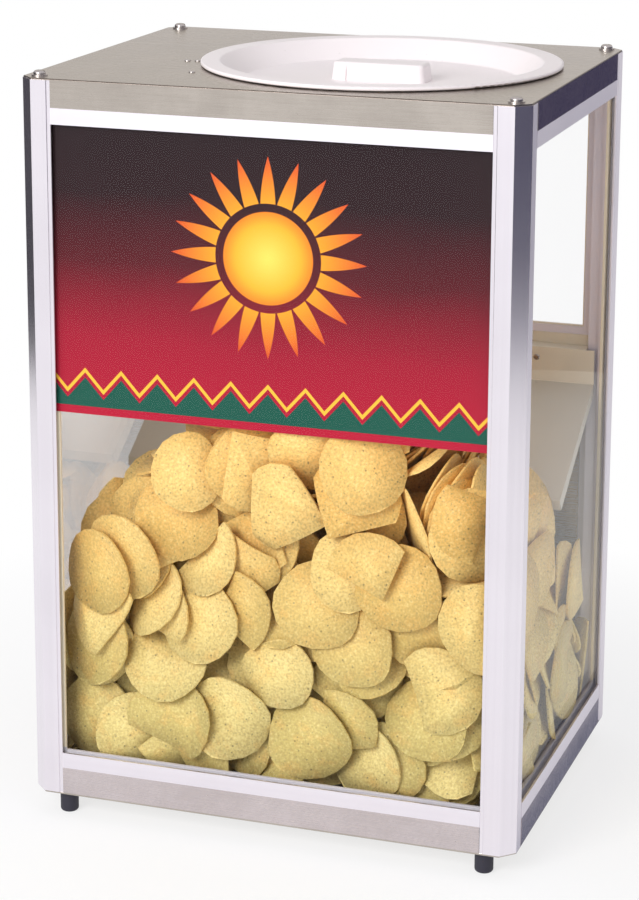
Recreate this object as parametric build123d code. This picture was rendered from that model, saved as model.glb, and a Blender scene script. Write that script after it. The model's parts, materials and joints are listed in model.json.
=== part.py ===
from build123d import *

import math
import os

# Chip warmer: a glazed hopper cabinet, filled through a round lid in the top and emptied through
# a service door at the back. Millimetres, +Z up, the front faces -Y, the feet stand on Z = 0.
# Most sizes are measured inwards from the outer faces of the frame.

os.makedirs("parts", exist_ok=True)

# ---- driving dimensions: the cabinet ----
width = 381.0
depth = 301.0
post_height = 550.0
foot_height = 18.0

# ---- extrusions ----
post_leg = 25.4
post_core = 19.0
post_chamfer = 10.2
post_wall = 1.6
post_edge_radius = 0.8
lip_width = 2.6
lip_step = 0.8
groove_front_wall = 2.0
groove_width = 5.6
groove_depth = 8.0
groove_rear_wall = 1.6
rail_height = 12.0
rail_tongue_clearance = 0.2
mid_rail_height = 19.0
mid_rail_wall = 1.8
mid_rail_key = 10.0  # how far the end keys reach into its hollow
port_boss_radius = 4.2

# ---- sheet metal ----
sheet = 1.2
sheet_setback = 0.4
sheet_bend_radius = 0.9
deck_corner_setback = 0.8
deck_rivet_offsets = [(135.2, 31.0), (142.8, 32.5), (118.5, 86.0)]  # left of the lid, ahead of it
apron_height = 20.0
skirt_height = 20.5
post_gap = 0.2

# ---- glazing ----
glass_thickness = 3.2
glass_play = 0.3
glass_seat = 0.2
sign_thickness = 1.8
sign_bottom = 302.0  # above the foot of the posts
bead_visible = 1.2
bead_play = 0.1

# ---- lid and filling hole ----
lid_offset = 38.2
lid_from_front = 151.0
hole_radius = 124.0
collar_height = 2.0
lid_radius = 135.4
lid_wall = 1.5
lid_floor_radius = 104.5
lid_wall_top_radius = 120.8
lid_floor_drop = 11.2  # floor of the dish below the top of the deck
lid_bend_radius = 2.5
lid_rest_gap = 0.3
handle_length = 73.0
handle_width = 27.0
handle_height = 13.5
handle_corner_radius = 6.0
handle_top_radius = 2.6
handle_draft = 1.6
finger_groove_radius = 22.0
finger_groove_depth = 1.8
handle_screw_spacing = 46.0

# ---- fasteners ----
screw_radius = 2.4
screw_head_radius = 4.5
screw_head_height = 3.0
screw_length = 18.0
thread_fit = 0.05
washer_radius = 6.0
washer_thickness = 1.0
post_screw_inset = 12.5
small_screw_radius = 1.5
small_head_radius = 2.9
small_head_height = 1.8
small_screw_length = 7.0
rivet_radius = 1.6
rivet_head_radius = 2.4
rivet_head_height = 1.0
rivet_tail_radius = 2.0
rivet_tail_height = 1.2
drive_slot_width = 0.9
drive_slot_depth = 1.0

# ---- feet ----
foot_radius = 7.0
foot_inset_x = 25.0
foot_inset_y = 13.5
foot_edge_radius = 2.4
stud_radius = 2.0
stud_sink = 9.0
stud_end = 1.3
nut_height = 3.2
nut_radius = 3.9

# ---- hopper baffle ----
mid_rail_bottom = 308.0  # above the foot of the posts
baffle_side_gap = 12.0
baffle_ledge = 16.2
baffle_face_height = 27.0
baffle_ledge_drop = 4.0  # ledge above the foot of the mid rail
baffle_back_flange = 9.0
baffle_back_rivet_rise = 3.1  # above the ledge
baffle_angle = 32.0
baffle_slope_length = 124.0
baffle_lip = 7.0
baffle_rib = 9.0
baffle_bracket_width = 18.0
baffle_bracket_inset = 131.5
baffle_back_rivet_inset = 60.0

# ---- service door ----
door_side_gap = 0.6
door_depth = 8.6
door_bottom_gap = 1.0
hinge_rod_radius = 2.0
hinge_running_fit = 0.07
curl_wall = 1.2
curl_setback = 0.4
curl_top_gap = 0.7
rod_reach = 6.0
pull_length = 90.0
pull_height = 15.0
pull_above_door_foot = 34.0
pull_lip = 13.6  # the furthest that anything stands out behind the frame
pull_sheet = 1.6
magnet_width = 42.0
magnet_depth = 9.0
magnet_overlap = 10.0
magnet_air_gap = 0.4

# ---- warm-air unit ----
unit_from_left = 30.0
unit_from_front = 40.0
unit_width = 70.0
unit_height = 94.0
cover_wall = 1.0
unit_side_play = 0.2
unit_flange = 12.0
bulkhead_from_unit_front = 22.0
fan_size = 60.0
fan_depth = 20.0
fan_bore_radius = 28.0
fan_ring_wall = 1.6
fan_hub_radius = 12.5
fan_hub_length = 14.0
fan_blade_count = 7
fan_blade_thickness = 1.4
fan_blade_pitch = 38.0
fan_blade_chord = 17.0
fan_tip_gap = 0.9
fan_shaft_radius = 1.5
fan_shaft_fit = 0.06
fan_motor_length = 4.0
fan_spoke_width = 3.2
fan_screw_spacing = 50.0
element_radius = 3.2
element_pitch = 15.0
element_runs = 4
element_run_length = 84.0
element_from_bulkhead = 42.0
element_tail = 22.0
support_thickness = 1.0
support_inset = 9.0
support_width = 58.0
support_hole_fit = 0.15
slot_pitch = 11.0
slot_width = 4.5
slot_length = 44.0
thermostat_radius = 8.0
thermostat_height = 9.0
thermostat_flange_length = 28.0
tab_thickness = 0.8

# ---- switch and cord gland ----
switch_length = 19.2
switch_height = 12.9
switch_depth = 17.0
bezel_margin = 1.4
bezel_thickness = 1.6
switch_from_left = 52.0
rocker_radius = 8.0
rocker_height = 9.6
rocker_fit = 0.7
rocker_tilt = 10.0
rocker_rise = 3.6
rocker_dip = 2.2
rocker_pin_radius = 1.2
rocker_pin_fit = 0.06
rocker_pin_length = 1.2
rocker_end_gap = 0.3
gland_from_left = 84.0
gland_radius = 6.6
gland_bore_radius = 3.6
gland_flange_radius = 8.2
gland_flange_thickness = 2.0
gland_thread_radius = 5.4
gland_reach = 12.0
gland_thread_length = 9.0
gland_nut_width = 14.0
gland_nut_thickness = 3.5
gland_dome_radius = 2.4
gland_flute_radius = 0.7
gland_flute_count = 12

# ---- places that follow ----
half_width = width / 2
front_y = -(depth + pull_lip) / 2
rear_y = front_y + depth
middle_y = front_y + depth / 2
post_foot = foot_height + sheet
post_top = post_foot + post_height
deck_top = post_top + sheet
floor_top = post_foot + skirt_height
rail_depth = groove_front_wall + groove_width + groove_rear_wall
top_rail_foot = post_top - apron_height - rail_height
bottom_rail_top = floor_top + rail_height
mid_rail_foot = post_foot + mid_rail_bottom
mid_rail_top = mid_rail_foot + mid_rail_height
groove_bottom = post_leg - groove_depth
pane_front = groove_front_wall + glass_seat
pane_back = pane_front + glass_thickness
lid_y = front_y + lid_from_front
port_hole_radius = screw_radius + thread_fit
plate_hole_radius = screw_radius + 0.4
small_hole_radius = small_screw_radius + thread_fit
unit_left = -half_width + unit_from_left
unit_right = unit_left + unit_width
unit_front_y = front_y + unit_from_front
unit_rear_y = rear_y - rail_depth - 0.4
unit_foot = post_top - sheet - unit_height
unit_middle_x = (unit_left + unit_right) / 2
fan_z = unit_foot + unit_height / 2

SIDES = {
    "front": (0, front_y, 0, width),
    "right": (half_width, middle_y, 90, depth),
    "rear": (0, rear_y, 180, width),
    "left": (-half_width, middle_y, -90, depth),
}
CORNERS = {
    "front_left": (-1, -1),
    "front_right": (1, -1),
    "rear_left": (-1, 1),
    "rear_right": (1, 1),
}


# ---- helpers ----
def block(low, high):
    """A box from its lowest corner to its highest."""
    size = [b - a for a, b in zip(low, high)]
    return Pos(*low) * Box(*size, align=(Align.MIN, Align.MIN, Align.MIN))


def on_side(side, shape):
    """Places a shape drawn with x along the side from its middle, y inwards from the outer face."""
    x, y, turn, _ = SIDES[side]
    return Pos(x, y, 0) * Rot(0, 0, turn) * shape


def from_corner(corner, inset_x, inset_y):
    """The point at these distances from the two outer faces that meet at a corner."""
    side_x, side_y = CORNERS[corner]
    x = side_x * (half_width - inset_x)
    y = front_y + inset_y if side_y < 0 else rear_y - inset_y
    return x, y


def flat(points):
    """A flat face from its outline."""
    return make_face(Polyline(points, close=True))


def rod(radius, length, x=0.0, y=0.0, z=0.0, turn=(0, 0, 0)):
    """A cylinder that starts at the point and runs along the turned +Z."""
    bar = Cylinder(radius, length, align=(Align.CENTER, Align.CENTER, Align.MIN))
    return Pos(x, y, z) * Rot(*turn) * bar


def group(shapes):
    """Separate solids in one node."""
    return Compound(children=[solid for shape in shapes for solid in shape.solids()])


def pan_screw(shank_radius, head_radius, head_height, length):
    """A domed screw, head up from Z = 0, shank down, with a straight drive slot."""
    head = rod(head_radius, head_height)
    head = fillet(head.edges().sort_by(Axis.Z)[-1], min(head_radius, head_height) * 0.7)
    slot = block(
        (-head_radius, -drive_slot_width / 2, head_height - drive_slot_depth),
        (head_radius, drive_slot_width / 2, head_height),
    )
    return head - slot + rod(shank_radius, length, z=-length)


def big_screw(washer_under=0.0):
    """A post screw; washer_under lifts its head off the plate."""
    body = pan_screw(screw_radius, screw_head_radius, screw_head_height, screw_length)
    return Pos(0, 0, washer_under) * body


def small_screw(length=small_screw_length):
    """A small sheet-metal screw."""
    return pan_screw(small_screw_radius, small_head_radius, small_head_height, length)


def rivet(grip):
    """A blind rivet: dome on top at Z = 0, upset tail under the sheets that it grips."""
    dome = rod(rivet_head_radius, rivet_head_height)
    dome = fillet(dome.edges().sort_by(Axis.Z)[-1], rivet_head_height * 0.8)
    tail = rod(rivet_tail_radius, rivet_tail_height, z=-grip - rivet_tail_height)
    return dome + rod(rivet_radius, grip, z=-grip) + tail


def hexagon_bar(across_flats, height):
    """An upright hexagonal bar from Z = 0."""
    return extrude(RegularPolygon(across_flats / 2, 6, major_radius=False), height)


# ---- frame ----
def post_section():
    """The section of the front-left post, with the outer corner at the origin."""
    lip_start = post_leg - lip_width
    front = groove_front_wall
    back = groove_front_wall + groove_width
    half_outline = [
        (post_chamfer, 0),
        (lip_start, 0),
        (lip_start, lip_step),
        (post_leg, lip_step),
        (post_leg, front),
        (groove_bottom, front),
        (groove_bottom, back),
        (post_leg, back),
        (post_leg, rail_depth),
        (post_core, rail_depth),
    ]
    mirrored = [(y, x) for x, y in reversed(half_outline)]
    outline = flat(half_outline + [(post_core, post_core)] + mirrored)
    edge_sums = {post_chamfer: post_edge_radius, lip_start: min(post_edge_radius, 0.9 * lip_step)}
    for edge_sum, radius in edge_sums.items():
        corners = outline.vertices().filter_by(lambda v: abs(v.X + v.Y - edge_sum) < 0.01)
        outline = fillet(corners, radius)
    core = [
        (post_chamfer, 0),
        (groove_bottom, 0),
        (groove_bottom, rail_depth),
        (post_core, rail_depth),
        (post_core, post_core),
        (rail_depth, post_core),
        (rail_depth, groove_bottom),
        (0, groove_bottom),
        (0, post_chamfer),
    ]
    chamber = offset(flat(core), -post_wall, kind=Kind.INTERSECTION)
    port = Pos(post_screw_inset, post_screw_inset) * Circle(port_boss_radius)
    web = Pos(post_screw_inset, post_screw_inset) * Rot(0, 0, 45) * Rectangle(width, post_wall)
    chamber = chamber - port - web
    hole = Pos(post_screw_inset, post_screw_inset) * Circle(port_hole_radius)
    return outline - chamber - hole


def post(corner):
    """A corner post, full height, turned or mirrored to its corner."""
    side_x, side_y = CORNERS[corner]
    bar = extrude(post_section(), post_height)
    if side_x > 0:
        bar = mirror(bar, about=Plane.YZ)
    if side_y > 0:
        bar = mirror(bar, about=Plane.XZ)
    x, y = from_corner(corner, 0, 0)
    return Pos(x, y, post_foot) * bar


def rail_span(side):
    """The clear length between the posts on a side."""
    return SIDES[side][3] - 2 * post_leg


def rail_bar(side, section, foot, tongue_low, tongue_high):
    """An extrusion between two posts, with a tongue at each end that keys into their grooves."""
    span = rail_span(side)
    bar = extrude(Plane.YZ * flat(section), span / 2, both=True)
    reach = span / 2 + groove_depth - rail_tongue_clearance
    tongue = block(
        (-reach, groove_front_wall + rail_tongue_clearance, tongue_low),
        (reach, groove_front_wall + groove_width - rail_tongue_clearance, tongue_high),
    )
    return on_side(side, Pos(0, 0, foot) * (bar + tongue))


def top_rail(side):
    """The glazing rail under the apron; its groove opens downwards."""
    back = groove_front_wall + groove_width
    section = [
        (sheet_setback, 0),
        (sheet_setback, rail_height),
        (rail_depth, rail_height),
        (rail_depth, 0),
        (back, 0),
        (back, groove_depth),
        (groove_front_wall, groove_depth),
        (groove_front_wall, 0),
    ]
    return rail_bar(side, section, top_rail_foot, groove_depth, rail_height)


def bottom_rail(side):
    """The glazing rail on the base; its groove opens upwards."""
    back = groove_front_wall + groove_width
    web = rail_height - groove_depth
    section = [
        (sheet_setback, 0),
        (rail_depth, 0),
        (rail_depth, rail_height),
        (back, rail_height),
        (back, web),
        (groove_front_wall, web),
        (groove_front_wall, rail_height),
        (sheet_setback, rail_height),
    ]
    return rail_bar(side, section, floor_top, 0, web)


def rear_mid_rail():
    """The bar across the back: it holds the upper pane, and the door swings below it."""
    back = groove_front_wall + groove_width
    web = mid_rail_height - groove_depth
    section = [
        (sheet_setback, 0),
        (rail_depth, 0),
        (rail_depth, mid_rail_height),
        (back, mid_rail_height),
        (back, web),
        (groove_front_wall, web),
        (groove_front_wall, mid_rail_height),
        (sheet_setback, mid_rail_height),
    ]
    bar = rail_bar("rear", section, mid_rail_foot, mid_rail_wall, web - mid_rail_wall)
    half_core = rail_span("rear") / 2 - mid_rail_key
    core = block(
        (-half_core, groove_front_wall, mid_rail_foot + mid_rail_wall),
        (half_core, back, mid_rail_foot + web - mid_rail_wall),
    )
    bar -= on_side("rear", core)
    for cutter in baffle_back_rivet_holes():
        bar -= cutter
    return bar


# ---- deck and base ----
def cut_corner_plate(z):
    """A flat plate over the whole plan, its corners cut beside the posts' chamfers."""
    cut = post_chamfer + deck_corner_setback - sheet_setback
    plan = Rectangle(width - 2 * sheet_setback, depth - 2 * sheet_setback)
    plan = chamfer(plan.vertices(), cut)
    return Pos(0, middle_y, z) * extrude(plan, sheet)


def apron(side, z_low, z_high):
    """A folded edge that fills the gap between two posts."""
    half = SIDES[side][3] / 2 - post_leg - post_gap
    strip = block((-half, sheet_setback, z_low), (half, sheet_setback + sheet, z_high))
    return on_side(side, strip)


def corner_holes(radius, z):
    """Cutters for the four post screws through a plate at z."""
    cutters = []
    for corner in CORNERS:
        x, y = from_corner(corner, post_screw_inset, post_screw_inset)
        cutters.append(rod(radius, 4 * sheet, x, y, z - sheet))
    return cutters


def deck_rivet_places():
    """The three rivets that show left of the lid."""
    return [(lid_offset - left, lid_y - ahead) for left, ahead in deck_rivet_offsets]


def top_deck():
    """The stainless top: plate, four aprons, and a filling hole with an upturned collar."""
    deck = cut_corner_plate(post_top)
    for side in SIDES:
        deck += apron(side, post_top - apron_height, post_top + sheet / 2)
    long_edges = deck.edges().group_by(Axis.Z)[-1].filter_by(
        lambda edge: edge.length > depth / 2 and abs(edge.center().Z - deck_top) < 0.01
    )
    deck = fillet(long_edges, sheet_bend_radius)
    deck += rod(hole_radius + sheet, collar_height + sheet, lid_offset, lid_y, post_top)
    deck -= rod(hole_radius, 4 * sheet + collar_height, lid_offset, lid_y, post_top - sheet)
    for cutter in corner_holes(plate_hole_radius, post_top):
        deck -= cutter
    for x, y in deck_rivet_places():
        deck -= rod(rivet_radius, 4 * sheet, x, y, post_top - 2 * sheet)
    deck -= on_side("rear", switch_cutout())
    return deck - on_side("rear", gland_cutout())


def base_pan():
    """The floor of the hopper with its four skirts, notched round the posts."""
    pan = block(
        (-half_width + sheet_setback, front_y + sheet_setback, floor_top - sheet),
        (half_width - sheet_setback, rear_y - sheet_setback, floor_top),
    )
    deep = rail_depth + post_gap
    wide = post_core + post_gap
    long = post_leg + post_gap
    for corner in CORNERS:
        for reach_x, reach_y in ((long, deep), (wide, wide), (deep, long)):
            outer_x, outer_y = from_corner(corner, 0, 0)
            inner_x, inner_y = from_corner(corner, reach_x, reach_y)
            low = (min(outer_x, inner_x), min(outer_y, inner_y), post_foot)
            high = (max(outer_x, inner_x), max(outer_y, inner_y), floor_top + sheet)
            pan -= block(low, high)
    for side in SIDES:
        pan += apron(side, post_foot, floor_top - sheet / 2)
    return pan


def bottom_plate():
    """The closing plate under the posts; it carries the feet."""
    plate = cut_corner_plate(foot_height)
    for cutter in corner_holes(plate_hole_radius, foot_height):
        plate -= cutter
    for corner in CORNERS:
        x, y = from_corner(corner, foot_inset_x, foot_inset_y)
        plate -= rod(stud_radius + thread_fit, 4 * sheet, x, y, foot_height - sheet)
    return plate


def post_top_washers():
    """The washers on the deck."""
    ring = rod(washer_radius, washer_thickness) - rod(plate_hole_radius, washer_thickness)
    return group(
        Pos(*from_corner(corner, post_screw_inset, post_screw_inset), deck_top) * ring
        for corner in CORNERS
    )


def post_top_screws():
    """The screws through the deck into the ports of the posts."""
    lift = Pos(0, 0, deck_top) * big_screw(washer_thickness)
    return group(
        Pos(*from_corner(corner, post_screw_inset, post_screw_inset)) * lift
        for corner in CORNERS
    )


def post_bottom_screws():
    """The same screws from below."""
    turned = Pos(0, 0, foot_height) * Rot(180, 0, 0) * big_screw()
    return group(
        Pos(*from_corner(corner, post_screw_inset, post_screw_inset)) * turned
        for corner in CORNERS
    )


def feet():
    """Rubber feet with a rounded foot edge, bored for their studs."""
    pad = rod(foot_radius, foot_height)
    pad = fillet(pad.edges().sort_by(Axis.Z)[0], foot_edge_radius)
    pad -= rod(stud_radius, stud_sink, z=foot_height - stud_sink)
    return group(
        Pos(*from_corner(corner, foot_inset_x, foot_inset_y)) * pad for corner in CORNERS
    )


def foot_studs():
    """The threaded studs moulded into the feet; they end just past their nuts."""
    length = stud_sink + sheet + nut_height + stud_end
    stud = rod(stud_radius, length, z=foot_height - stud_sink)
    return group(
        Pos(*from_corner(corner, foot_inset_x, foot_inset_y)) * stud for corner in CORNERS
    )


def foot_nuts():
    """The nuts on the studs, inside the base."""
    nut = hexagon_bar(2 * nut_radius * math.cos(math.radians(30)), nut_height)
    nut -= rod(stud_radius + thread_fit, nut_height)
    return group(
        Pos(*from_corner(corner, foot_inset_x, foot_inset_y), post_foot) * nut
        for corner in CORNERS
    )


# ---- glazing ----
def pane_limits(side, z_low, z_high):
    """The outline of a pane: half its length, its foot and its head."""
    half = SIDES[side][3] / 2 - groove_bottom - glass_play
    return half, z_low + glass_play, z_high - glass_play


def full_pane_limits(side):
    """The outline of a pane from the bottom rail to the top rail."""
    return pane_limits(side, bottom_rail_top - groove_depth, top_rail_foot + groove_depth)


def upper_pane_limits():
    """The outline of the rear pane, above the mid rail."""
    return pane_limits("rear", mid_rail_top - groove_depth, top_rail_foot + groove_depth)


def pane(side, limits):
    """A sheet of glass in the grooves."""
    half, low, high = limits
    return on_side(side, block((-half, pane_front, low), (half, pane_back, high)))


def bead(side, limits, head_open=False):
    """The vinyl strip that packs a pane in its grooves and shows as a fine line beside them."""
    half, low, high = limits
    back = groove_front_wall + groove_width - bead_play
    edge = groove_depth - glass_play + bead_visible
    ring = block((-half, pane_back + bead_play, low), (half, back, high))
    inner_high = high + edge if head_open else high - edge
    window = block((-half + edge, 0, low + edge), (half - edge, post_leg, inner_high))
    return on_side(side, ring - window)


def sign_panel():
    """The printed panel behind the upper part of the front glass."""
    half, _, high = full_pane_limits("front")
    low = post_foot + sign_bottom
    start = pane_back + bead_play
    return on_side("front", block((-half, start, low), (half, start + sign_thickness, high)))


def front_bead():
    """The front strip stops under the sign, which stands on it."""
    half, low, _ = full_pane_limits("front")
    return bead("front", (half, low, post_foot + sign_bottom - glass_play), head_open=True)


# ---- lid ----
def lid():
    """The dished lid: flat floor, sloped wall, flat rim with a rolled edge."""
    rim = deck_top + collar_height + lid_rest_gap
    floor_z = deck_top - lid_floor_drop
    drop = lid_wall * 0.7
    bead_middle = lid_radius - lid_wall
    outline = [
        (0, floor_z),
        (lid_floor_radius, floor_z),
        (lid_wall_top_radius, rim + lid_wall),
        (bead_middle, rim + lid_wall),
        (bead_middle, rim),
        (lid_wall_top_radius + drop, rim),
        (lid_floor_radius + drop, floor_z - lid_wall),
        (0, floor_z - lid_wall),
    ]
    section = flat(outline)
    bends = section.vertices().filter_by(
        lambda v: lid_floor_radius - 1 < v.X < lid_wall_top_radius + 2
    )
    section = fillet(bends, lid_bend_radius)
    dish = revolve(Plane.XZ * section, Axis.Z)
    rolled_edge = Pos(0, 0, rim) * Torus(bead_middle, lid_wall)
    for x in handle_screw_xs():
        dish -= rod(small_hole_radius, 4 * lid_wall, x, 0, floor_z - 2 * lid_wall)
    return Pos(lid_offset, lid_y, 0) * (dish + rolled_edge)


def handle_screw_xs():
    """Where the handle's two screws stand, from the middle of the lid."""
    return (-handle_screw_spacing / 2, handle_screw_spacing / 2)


def lid_handle():
    """The raised oblong handle: drafted sides, rounded all over, a finger groove each side."""

    def outline(margin):
        plan = Rectangle(handle_length - 2 * margin, handle_width - 2 * margin)
        return fillet(plan.vertices(), handle_corner_radius - margin)

    body = loft([outline(0), Pos(0, 0, handle_height) * outline(handle_draft)])
    body = fillet(body.edges().group_by(Axis.Z)[-1], handle_top_radius)
    reach = handle_width / 2 - handle_draft / 2 + finger_groove_radius - finger_groove_depth
    span = handle_length - 4 * handle_corner_radius
    for sign in (-1, 1):
        groove = Cylinder(finger_groove_radius, span, rotation=(0, 90, 0))
        body -= Pos(0, sign * reach, handle_height * 0.38) * groove
    bore_depth = handle_height - 2 * handle_top_radius
    for x in handle_screw_xs():
        body -= rod(small_hole_radius, bore_depth, x, 0, 0)
    return Pos(lid_offset, lid_y, deck_top - lid_floor_drop) * body


def lid_handle_screws():
    """The screws up through the floor of the lid."""
    length = lid_wall + handle_height - 2 * handle_top_radius - 1
    screw = Rot(180, 0, 0) * small_screw(length)
    foot = deck_top - lid_floor_drop - lid_wall
    return group(Pos(lid_offset + x, lid_y, foot) * screw for x in handle_screw_xs())


# ---- hopper baffle ----
def baffle_half():
    """Half the length of the baffle."""
    return half_width - baffle_side_gap


def baffle_line():
    """The bend line of the baffle's sheet in side view: distance from the rear face, height."""
    back = rail_depth + sheet / 2
    ledge_z = mid_rail_foot + baffle_ledge_drop
    front = back + baffle_ledge
    slope = math.radians(baffle_angle)
    toe = front + baffle_slope_length * math.cos(slope)
    toe_z = ledge_z - baffle_face_height - baffle_slope_length * math.sin(slope)
    return [
        (back, ledge_z + baffle_back_flange),
        (back, ledge_z),
        (front, ledge_z),
        (front, ledge_z - baffle_face_height),
        (toe, toe_z),
        (toe, toe_z - baffle_lip),
    ]


def sheet_profile(line, thickness):
    """A folded sheet's section: the mitred band on both sides of its bend line."""

    def shifted(distance):
        points = []
        for i, (x, y) in enumerate(line):
            normals = []
            for j in (i - 1, i):
                if 0 <= j < len(line) - 1:
                    (x0, y0), (x1, y1) = line[j], line[j + 1]
                    length = math.hypot(x1 - x0, y1 - y0)
                    normals.append(((y0 - y1) / length, (x1 - x0) / length))
            mx = sum(n[0] for n in normals)
            my = sum(n[1] for n in normals)
            stretch = 2 / (mx * mx + my * my) if len(normals) == 2 else 1 / (mx * mx + my * my)
            points.append((x + mx * stretch * distance, y + my * stretch * distance))
        return points

    return shifted(thickness / 2) + list(reversed(shifted(-thickness / 2)))


def baffle_back_rivet_xs():
    """Rivets through the back flange into the mid rail."""
    end = baffle_half() - baffle_back_rivet_inset
    return [-end, -end / 3, end / 3, end]


def baffle_back_rivet_holes():
    """Cutters for those rivets."""
    z = mid_rail_foot + baffle_ledge_drop + baffle_back_rivet_rise
    return [
        on_side("rear", rod(rivet_radius, 3 * rail_depth, x, 4 * sheet, z, (-90, 0, 0)))
        for x in baffle_back_rivet_xs()
    ]


def baffle_face_rivet_cutter(x):
    """A cutter for a rivet through the upright face and its bracket."""
    front = rail_depth + baffle_ledge + 2 * sheet
    z = mid_rail_foot + baffle_ledge_drop - baffle_face_height * 0.3
    return on_side("rear", rod(rivet_radius, 4 * sheet, x, front + sheet, z, (90, 0, 0)))


def hopper_baffle():
    """The folded stainless plate: back flange, ledge, upright face, slope and lip."""
    profile = flat(sheet_profile(baffle_line(), sheet))
    # The ledge runs between the posts; the face and the slope in front of them run on past.
    plate = extrude(Plane.YZ * profile, baffle_half(), both=True)
    for sign in (-1, 1):
        start = half_width - post_core - post_gap
        low_x, high_x = sorted((sign * start, sign * half_width))
        face_back = rail_depth + baffle_ledge - post_gap
        plate -= block((low_x, 0, mid_rail_foot - post_leg), (high_x, face_back, post_top))
    line = baffle_line()
    (x0, z0), (x1, z1) = line[3], line[4]
    rib = flat([
        (x0, z0),
        (x1, z1),
        (x1 - baffle_rib * math.sin(math.radians(baffle_angle)), z1 - baffle_rib),
        (x0, z0 - baffle_rib),
    ])
    for sign in (-1, 1):
        edge = sign * (baffle_half() - sheet / 2)
        plate += Pos(edge, 0, 0) * extrude(Plane.YZ * rib, sheet / 2, both=True)
    plate = on_side("rear", plate)
    for cutter in baffle_back_rivet_holes():
        plate -= cutter
    for x in (-baffle_bracket_inset, baffle_bracket_inset):
        plate -= baffle_face_rivet_cutter(x)
    return plate


def baffle_brackets():
    """Two Z brackets between the upright face and the mid rail, under the ledge."""
    back = rail_depth + sheet / 2
    face = rail_depth + baffle_ledge - sheet / 2
    top = mid_rail_foot + baffle_ledge_drop - sheet
    line = [
        (back, mid_rail_foot + 0.2),
        (back, top),
        (face, top),
        (face, top - baffle_face_height * 0.55),
    ]
    profile = flat(sheet_profile(line, sheet))
    bracket = extrude(Plane.YZ * profile, baffle_bracket_width / 2, both=True)
    placed = []
    for x in (-baffle_bracket_inset, baffle_bracket_inset):
        placed.append(on_side("rear", Pos(x, 0, 0) * bracket) - baffle_face_rivet_cutter(x))
    return group(placed)


def baffle_rivets():
    """Four rivets into the mid rail and one through each bracket."""
    z_back = mid_rail_foot + baffle_ledge_drop + baffle_back_rivet_rise
    z_face = mid_rail_foot + baffle_ledge_drop - baffle_face_height * 0.3
    head = rail_depth + sheet
    placed = []
    for x in baffle_back_rivet_xs():
        pin = Rot(-90, 0, 0) * rivet(sheet + groove_rear_wall)
        placed.append(on_side("rear", Pos(x, head, z_back) * pin))
    face = rail_depth + baffle_ledge + sheet
    for x in (-baffle_bracket_inset, baffle_bracket_inset):
        pin = Rot(-90, 0, 0) * rivet(2 * sheet)
        placed.append(on_side("rear", Pos(x, face, z_face) * pin))
    return group(placed)


# ---- service door ----
hinge_inset = curl_setback + hinge_rod_radius + hinge_running_fit + curl_wall
hinge_y = rear_y - hinge_inset
curl_radius = hinge_rod_radius + hinge_running_fit + curl_wall
hinge_z = mid_rail_foot - curl_top_gap - curl_radius
door_foot = bottom_rail_top + door_bottom_gap
door_half = half_width - post_leg - door_side_gap


def service_door():
    """The folded door: its head curls round the rod, its other edges turn inwards."""
    skin = block(
        (-door_half, curl_setback, door_foot),
        (door_half, curl_setback + sheet, hinge_z),
    )
    turned_edges = [
        block((-door_half, curl_setback, door_foot), (door_half, door_depth, door_foot + sheet)),
        block(
            (-door_half, curl_setback, door_foot),
            (-door_half + sheet, door_depth, hinge_z - curl_radius - sheet),
        ),
        block(
            (door_half - sheet, curl_setback, door_foot),
            (door_half, door_depth, hinge_z - curl_radius - sheet),
        ),
    ]
    door = skin
    for edge in turned_edges:
        door += edge
    strike = block(
        (-magnet_width / 2, door_depth - sheet, door_foot),
        (magnet_width / 2, door_depth, door_foot + magnet_overlap),
    )
    door += strike
    door += rod(curl_radius, 2 * door_half, -door_half, hinge_inset, hinge_z, (0, 90, 0))
    bore = hinge_rod_radius + hinge_running_fit
    door -= rod(bore, 2 * half_width, -half_width, hinge_inset, hinge_z, (0, 90, 0))
    door = on_side("rear", door)
    for cutter in pull_screw_cutters():
        door -= cutter
    return door


def door_hinge_rod():
    """The rod that the door swings on; its ends lie in the posts."""
    reach = half_width - post_leg + rod_reach
    return rod(hinge_rod_radius, 2 * reach, -reach, hinge_y, hinge_z, (0, 90, 0))


def rod_holes():
    """The cutter for the rod in the two rear posts."""
    reach = half_width - post_leg + rod_reach
    return rod(hinge_rod_radius + thread_fit, 2 * reach, -reach, hinge_y, hinge_z, (0, 90, 0))


def pull_line():
    """The pull's section: distance outwards from the rear face, height above the door's foot."""
    z = door_foot + pull_above_door_foot
    start = -curl_setback + pull_sheet / 2
    return [
        (start, z + pull_height),
        (start, z),
        (pull_lip - pull_sheet, z),
        (pull_lip - pull_sheet / 2, z + pull_sheet * 2.4),
    ]


def pull_screw_places():
    """The two screws of the pull."""
    z = door_foot + pull_above_door_foot + pull_height * 0.6
    return [(-pull_length * 0.35, z), (pull_length * 0.35, z)]


def pull_screw_cutters():
    """Cutters for them, from outside the pull to inside the door."""
    reach = 12 * sheet
    return [
        rod(small_hole_radius, reach, x, rear_y + reach / 2, z, (90, 0, 0))
        for x, z in pull_screw_places()
    ]


def door_pull():
    """A folded lip to lift the door by."""
    profile = flat(sheet_profile(pull_line(), pull_sheet))
    bar = extrude(Plane.YZ * profile, pull_length / 2, both=True)
    bar = Pos(0, rear_y, 0) * bar
    for cutter in pull_screw_cutters():
        bar -= cutter
    return bar


def door_pull_screws():
    """The screws of the pull."""
    face = rear_y - curl_setback + pull_sheet
    screw = Rot(-90, 0, 0) * small_screw(small_screw_length * 0.7)
    return group(Pos(x, face, z) * screw for x, z in pull_screw_places())


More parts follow.
